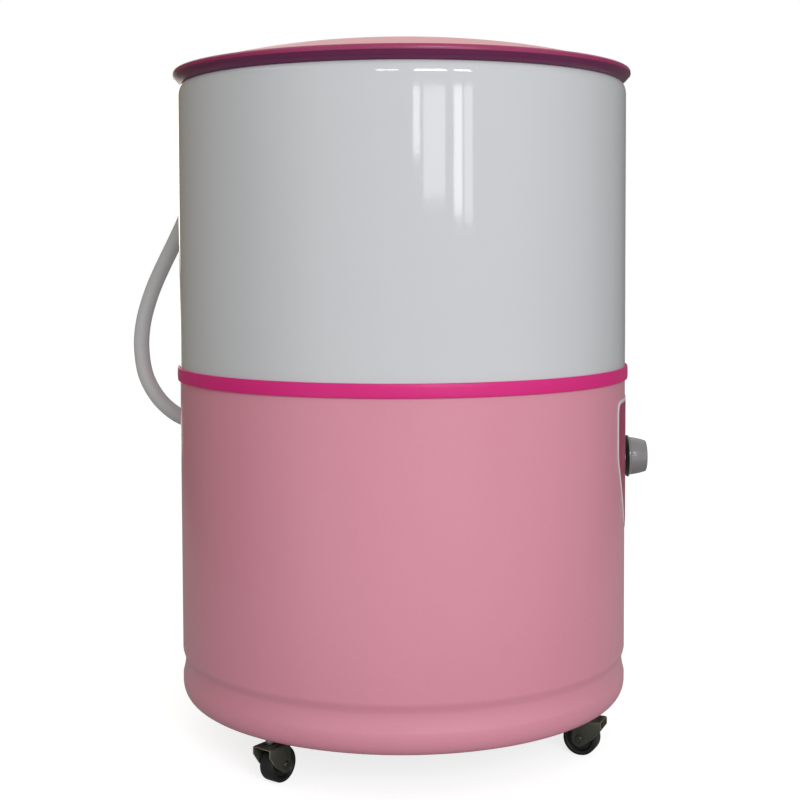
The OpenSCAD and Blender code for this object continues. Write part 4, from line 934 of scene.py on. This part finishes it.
windingSettings = {
    "centre": -160.0, "inner": 38.2, "outer": 47.0, "low": 228.6, "high": 292.6, "tall": 14.0,
    "bundles": 24, "swell": 0.9, "sink": 0.4,      # between bundles the ring sinks by this share of the swell
    "inset": 0.9, "shoulder": 0.45, "steps": 192,
}


# The coil heads of the stator: a ring whose bundles bulge one beside the other
def makeCoilHead(s, up):
    middle, half = (s["inner"] + s["outer"]) / 2, (s["outer"] - s["inner"]) / 2 - s["inset"]
    base = s["high"] if up else s["low"]
    way = 1 if up else -1
    crown = s["tall"] * (1 - s["shoulder"]) - 1
    section = [(s["inner"] + 0.8, base), (s["outer"] - 0.8, base)]
    for side, angles in ((1, (0, 20, 40, 60, 80)), (-1, (80, 60, 40, 20, 0))):
        for turn in map(math.radians, angles):
            section.append((middle + side * half * math.cos(turn) ** 0.5,
                            base + way * (s["tall"] * s["shoulder"] + crown * math.sin(turn))))
    head = turned("coilHead", section, s["steps"])
    for point in head.data.vertices:
        if (point.co.z / mm - base) * way / s["tall"] > 0.1:
            wave = abs(math.sin(s["bundles"] / 2 * math.atan2(point.co.y, point.co.x)))
            bulge = s["swell"] * (wave - s["sink"])
            point.co.z += way * bulge * mm
            radius = math.hypot(point.co.x, point.co.y)
            widen = 1 + bulge * (1 if radius > middle * mm else -1) * mm / radius
            point.co.x *= widen
            point.co.y *= widen
    return place(head, (0, 0, 0), (s["centre"] * mm, 0, 0))


windings = join("motorWindings", [makeCoilHead(windingSettings, up) for up in (True, False)])
smooth(windings, 60)
dress(windings, "copperWire", "cabinet", "copper_wire", "motor_windings")
print("wires and windings made")

# Castings, pressings and mouldings that keep the CAD shape but have their edges rounded:
# finish, body and slot, then the nodes, each with its edge in millimetres

roundedPieces = [
    ("pulsatorWhite", "agitator", "pulsator_white", {"pulsator": 1.6}),
    ("castAluminium", "agitator", "cast_aluminium", {"driven_pulley": 0.6}),
    ("zincSteel", "agitator", "zinc_steel", {"pulley_nut": 0.5}),
    ("stainless", "agitator", "stainless", {"pulsator_screw": 0.6}),
    ("castAluminium", "rotor", "cast_aluminium", {"motor_pulley": 0.4}),
    ("blackPlasticAndShade", "rotor", "black_plastic", {"motor_fan": 0.4}),
    ("castAluminium", "cabinet", "cast_aluminium", {"bearing_housing": 1.0, "motor_bells": 0.8}),
    ("zincSteel", "cabinet", "zinc_steel", {
        "housing_bolts": 0.4, "motor_bolts": 0.4, "capacitor_clamp": 0.3, "timer_screws": 0.3,
        "hose_clamps": 0.3, "hose_hook": 0.8, "caster_stems": 0.4}),
    ("framePaint", "cabinet", "frame_paint", {"motor_bracket": 0.8, "motor_beams": 0.8}),
    ("capacitorCase", "cabinet", "capacitor_case", {"run_capacitor": 0.8}),
    ("timerCase", "cabinet", "timer_case", {"timer_body": 1.2}),
    ("blackRubber", "cabinet", "black_rubber", {"drive_belt": 0.6}),
    ("drainPlastic", "cabinet", "drain_plastic", {
        "drain_strainer": 0.5, "drain_nuts": 0.6, "drain_elbow": 0.5, "outlet_spigot": 0.5}),
    ("blackPlasticAndShade", "cabinet", "black_plastic", {"cord_gland": 0.8}),
    ("cuffGrey", "cabinet", "cuff_grey", {"hose_end_cuff": 1.2}),
]


def roundedCopy(node, edge):
    piece = bpy.data.objects.new(node + "Rounded", nodes[node].data.copy())
    bpy.context.scene.collection.objects.link(piece)
    makeActive(piece)
    editAll()
    bpy.ops.mesh.remove_doubles(threshold=mergeDistance)
    bpy.ops.mesh.dissolve_limited(angle_limit=math.radians(0.8))
    editDone()
    roundEdges(piece, edge * mm, 2, 42)
    return piece


for finish, body, slot, edges in roundedPieces:
    for node, edge in edges.items():
        dress(roundedCopy(node, edge), finish, body, slot, node)
print("edges rounded:", sum(len(row[-1]) for row in roundedPieces))

# Carried-over CAD nodes keep their shape and get a finish

cadFinishes = {
    "zincSteel": ["seam_ring"],
    "stainless": ["drive_shaft", "timer_shaft"],
    "bronze": ["shaft_bushes"],
    "blackRubber": ["housing_gasket", "shaft_seal", "drain_tube"],
    "coreSteel": ["motor_rotor", "motor_stator"],
    "framePaint": ["base_ring"],
    "brightSteel": ["motor_bearings"],
}
for finish, members in cadFinishes.items():
    for member in members:
        nodes[member].data.materials.clear()
        nodes[member].data.materials.append(finishes[finish])
print("CAD nodes finished")

# Floor, lamps and background

stageSettings = {
    "floorSize": 14.0, "ambient": (0.50, 0.485, 0.455), "floorColor": 0.55, "floorGlow": 0.78,
    "floorFade": (-1.1, -0.35),      # where along X the floor's glow leaves the reflections
    # cards round the machine: middle, turn, length, where along X they are still white, where they have
    # their own color, and that color
    "cardHeight": 1.5,
    "cards": {
        "cardLeft": ((0.4, 1.12), 0, 3.8, -1.4, -0.3, (0.17, 0.14, 0.1)),
        "cardRight": ((0.4, -1.12), 0, 3.8, -0.9, 0.3, (0.17, 0.17, 0.165)),
        "cardBack": ((2.3, 0), 90, 2.24, -1.4, -0.3, (0.2, 0.19, 0.17)),
        "cardGlow": ((2.28, 0.7), 90, 0.8, -1.4, -0.3, (1.8, 1.7, 1.48))},
    "keyLamp": ((-3.42, -1.05, 1.5), (0, 0, 0.45), (1.6, 1.6), 64, (0.94, 0.97, 1.0)),
    # window panes seen in the enamel: first and last angle from -X towards -Y, lower and upper edge,
    # brightness
    "windowAt": 3.2, "windowColor": (0.95, 0.97, 1.0),
    "panes": {
        "paneLeftEdge": (5.2, 8.3, 0.86, 1.12, 4.4), "paneLeft": (9.9, 20.0, 0.727, 1.12, 2.6),
        "paneRightEdge": (24.0, 28.0, 0.68, 1.12, 5.0), "paneRight": (29.0, 33.0, 0.66, 1.12, 2.6),
        "barFarLeft": (-12.0, -1.6, 1.62, 1.98, 6.0), "barLeft": (6.0, 21.0, 1.6, 2.0, 13.0),
        "barRight": (25.2, 33.0, 1.6, 2.0, 9.0)},
}


# A new material on a piece, with an empty node tree but for its output
def bareTree(piece, name):
    material = bpy.data.materials.new(name)
    material.use_nodes = True
    piece.data.materials.append(material)
    tree = material.node_tree
    tree.nodes.remove(tree.nodes["Principled BSDF"])
    return tree


# The floor glows for the camera, so that it is white, and in reflections only in front of the machine
def makeFloor(s):
    deselectAll()
    bpy.ops.mesh.primitive_plane_add(size=s["floorSize"], location=(0, 0, 0))
    floor = named("floor")
    tree = bareTree(floor, "paleFloor")
    matt = addNode(tree, "BsdfDiffuse", None, {"Color": (*[s["floorColor"]] * 3, 1)})
    glow = addNode(tree, "Emission", None, {"Color": (1, 1, 1, 1), "Strength": s["floorGlow"]})
    none = addNode(tree, "Emission", None, {"Color": (0, 0, 0, 1), "Strength": 0})
    path = addNode(tree, "LightPath")
    coords = addNode(tree, "TexCoord").outputs["Object"]
    along = addNode(tree, "SeparateXYZ", None, {0: coords}).outputs[0]
    front = mapRange(tree, along, *s["floorFade"], 1, 0)
    mirrored = addMath(tree, "MULTIPLY", path.outputs["Is Glossy Ray"], front)
    seen = addMath(tree, "ADD", path.outputs["Is Camera Ray"], mirrored, True)
    chosen = addNode(tree, "MixShader", None, {0: seen, 1: none.outputs[0], 2: glow.outputs[0]})
    both = addNode(tree, "AddShader", None, {0: matt.outputs[0], 1: chosen.outputs[0]})
    # from below the floor is clear, so that the underside can be looked at
    below = addNode(tree, "NewGeometry").outputs["Backfacing"]
    clear = addNode(tree, "BsdfTransparent")
    oneSided = addNode(tree, "MixShader", None, {0: below, 1: both.outputs[0], 2: clear.outputs[0]})
    tree.links.new(oneSided.outputs[0], tree.nodes["Material Output"].inputs["Surface"])


# Cards round the machine that only its shiny surfaces see: white in front, another color behind
def makeCard(name, middle, turn, length, lightEnd, darkEnd, color, s):
    deselectAll()
    bpy.ops.mesh.primitive_plane_add(
        size=1, location=(*middle, s["cardHeight"] / 2), rotation=(math.pi / 2, 0, math.radians(turn)))
    card = named(name)
    card.scale = (length, s["cardHeight"], 1)
    applyPlace(card)
    tree = bareTree(card, name + "Paper")
    coords = addNode(tree, "TexCoord").outputs["Object"]
    along = addNode(tree, "SeparateXYZ", None, {0: coords}).outputs[0]
    shade = mixColor(tree, mapRange(tree, along, lightEnd, darkEnd, 0, 1), (1, 1, 1, 1), (*color, 1))
    paper = addNode(tree, "Emission", None, {"Color": shade, "Strength": 1})
    tree.links.new(paper.outputs[0], tree.nodes["Material Output"].inputs["Surface"])
    card.visible_camera = False
    card.visible_diffuse = False
    card.visible_shadow = False


def makeWorld(s):
    world = bpy.data.worlds.new("studio")
    bpy.context.scene.world = world
    world.use_nodes = True
    tree = world.node_tree
    soft = tree.nodes["Background"]
    soft.inputs["Color"].default_value = (*s["ambient"], 1)
    white = addNode(tree, "Background", None, {"Color": (1, 1, 1, 1), "Strength": 1})
    path = addNode(tree, "LightPath")
    seen = path.outputs["Is Camera Ray"]
    for kind in ("Is Glossy Ray", "Is Transmission Ray"):
        seen = addMath(tree, "ADD", seen, path.outputs[kind], True)
    chosen = addNode(tree, "MixShader", None, {0: seen, 1: soft.outputs[0], 2: white.outputs[0]})
    tree.links.new(chosen.outputs[0], tree.nodes["World Output"].inputs["Surface"])


def addLamp(name, location, target, size, power, color):
    bpy.ops.object.light_add(type="AREA", location=location)
    lamp = named(name)
    lamp.data.shape = "RECTANGLE"
    lamp.data.size, lamp.data.size_y = size
    lamp.data.energy = power
    lamp.data.color = color
    lamp.visible_camera = False
    lamp.rotation_euler = (Vector(target) - Vector(location)).to_track_quat("-Z", "Y").to_euler()
    return lamp


# A pane of window light that shows only as a reflection
def addPane(name, start, end, low, high, brightness, s):
    middle = math.radians(180 + (start + end) / 2)
    wide = 2 * s["windowAt"] * math.sin(math.radians(end - start) / 2)
    spot = Vector((s["windowAt"] * math.cos(middle), s["windowAt"] * math.sin(middle), (low + high) / 2))
    power = brightness * math.pi * wide * (high - low)
    pane = addLamp(name, spot, (0, 0, spot.z), (wide, high - low), power, s["windowColor"])
    pane.visible_diffuse = False


makeFloor(stageSettings)
for name, values in stageSettings["cards"].items():
    makeCard(name, *values, stageSettings)
makeWorld(stageSettings)
addLamp("key", *stageSettings["keyLamp"]).visible_glossy = False
for name, values in stageSettings["panes"].items():
    addPane(name, *values, stageSettings)
bpy.context.scene.view_settings.view_transform = "Standard"
print("stage lit")
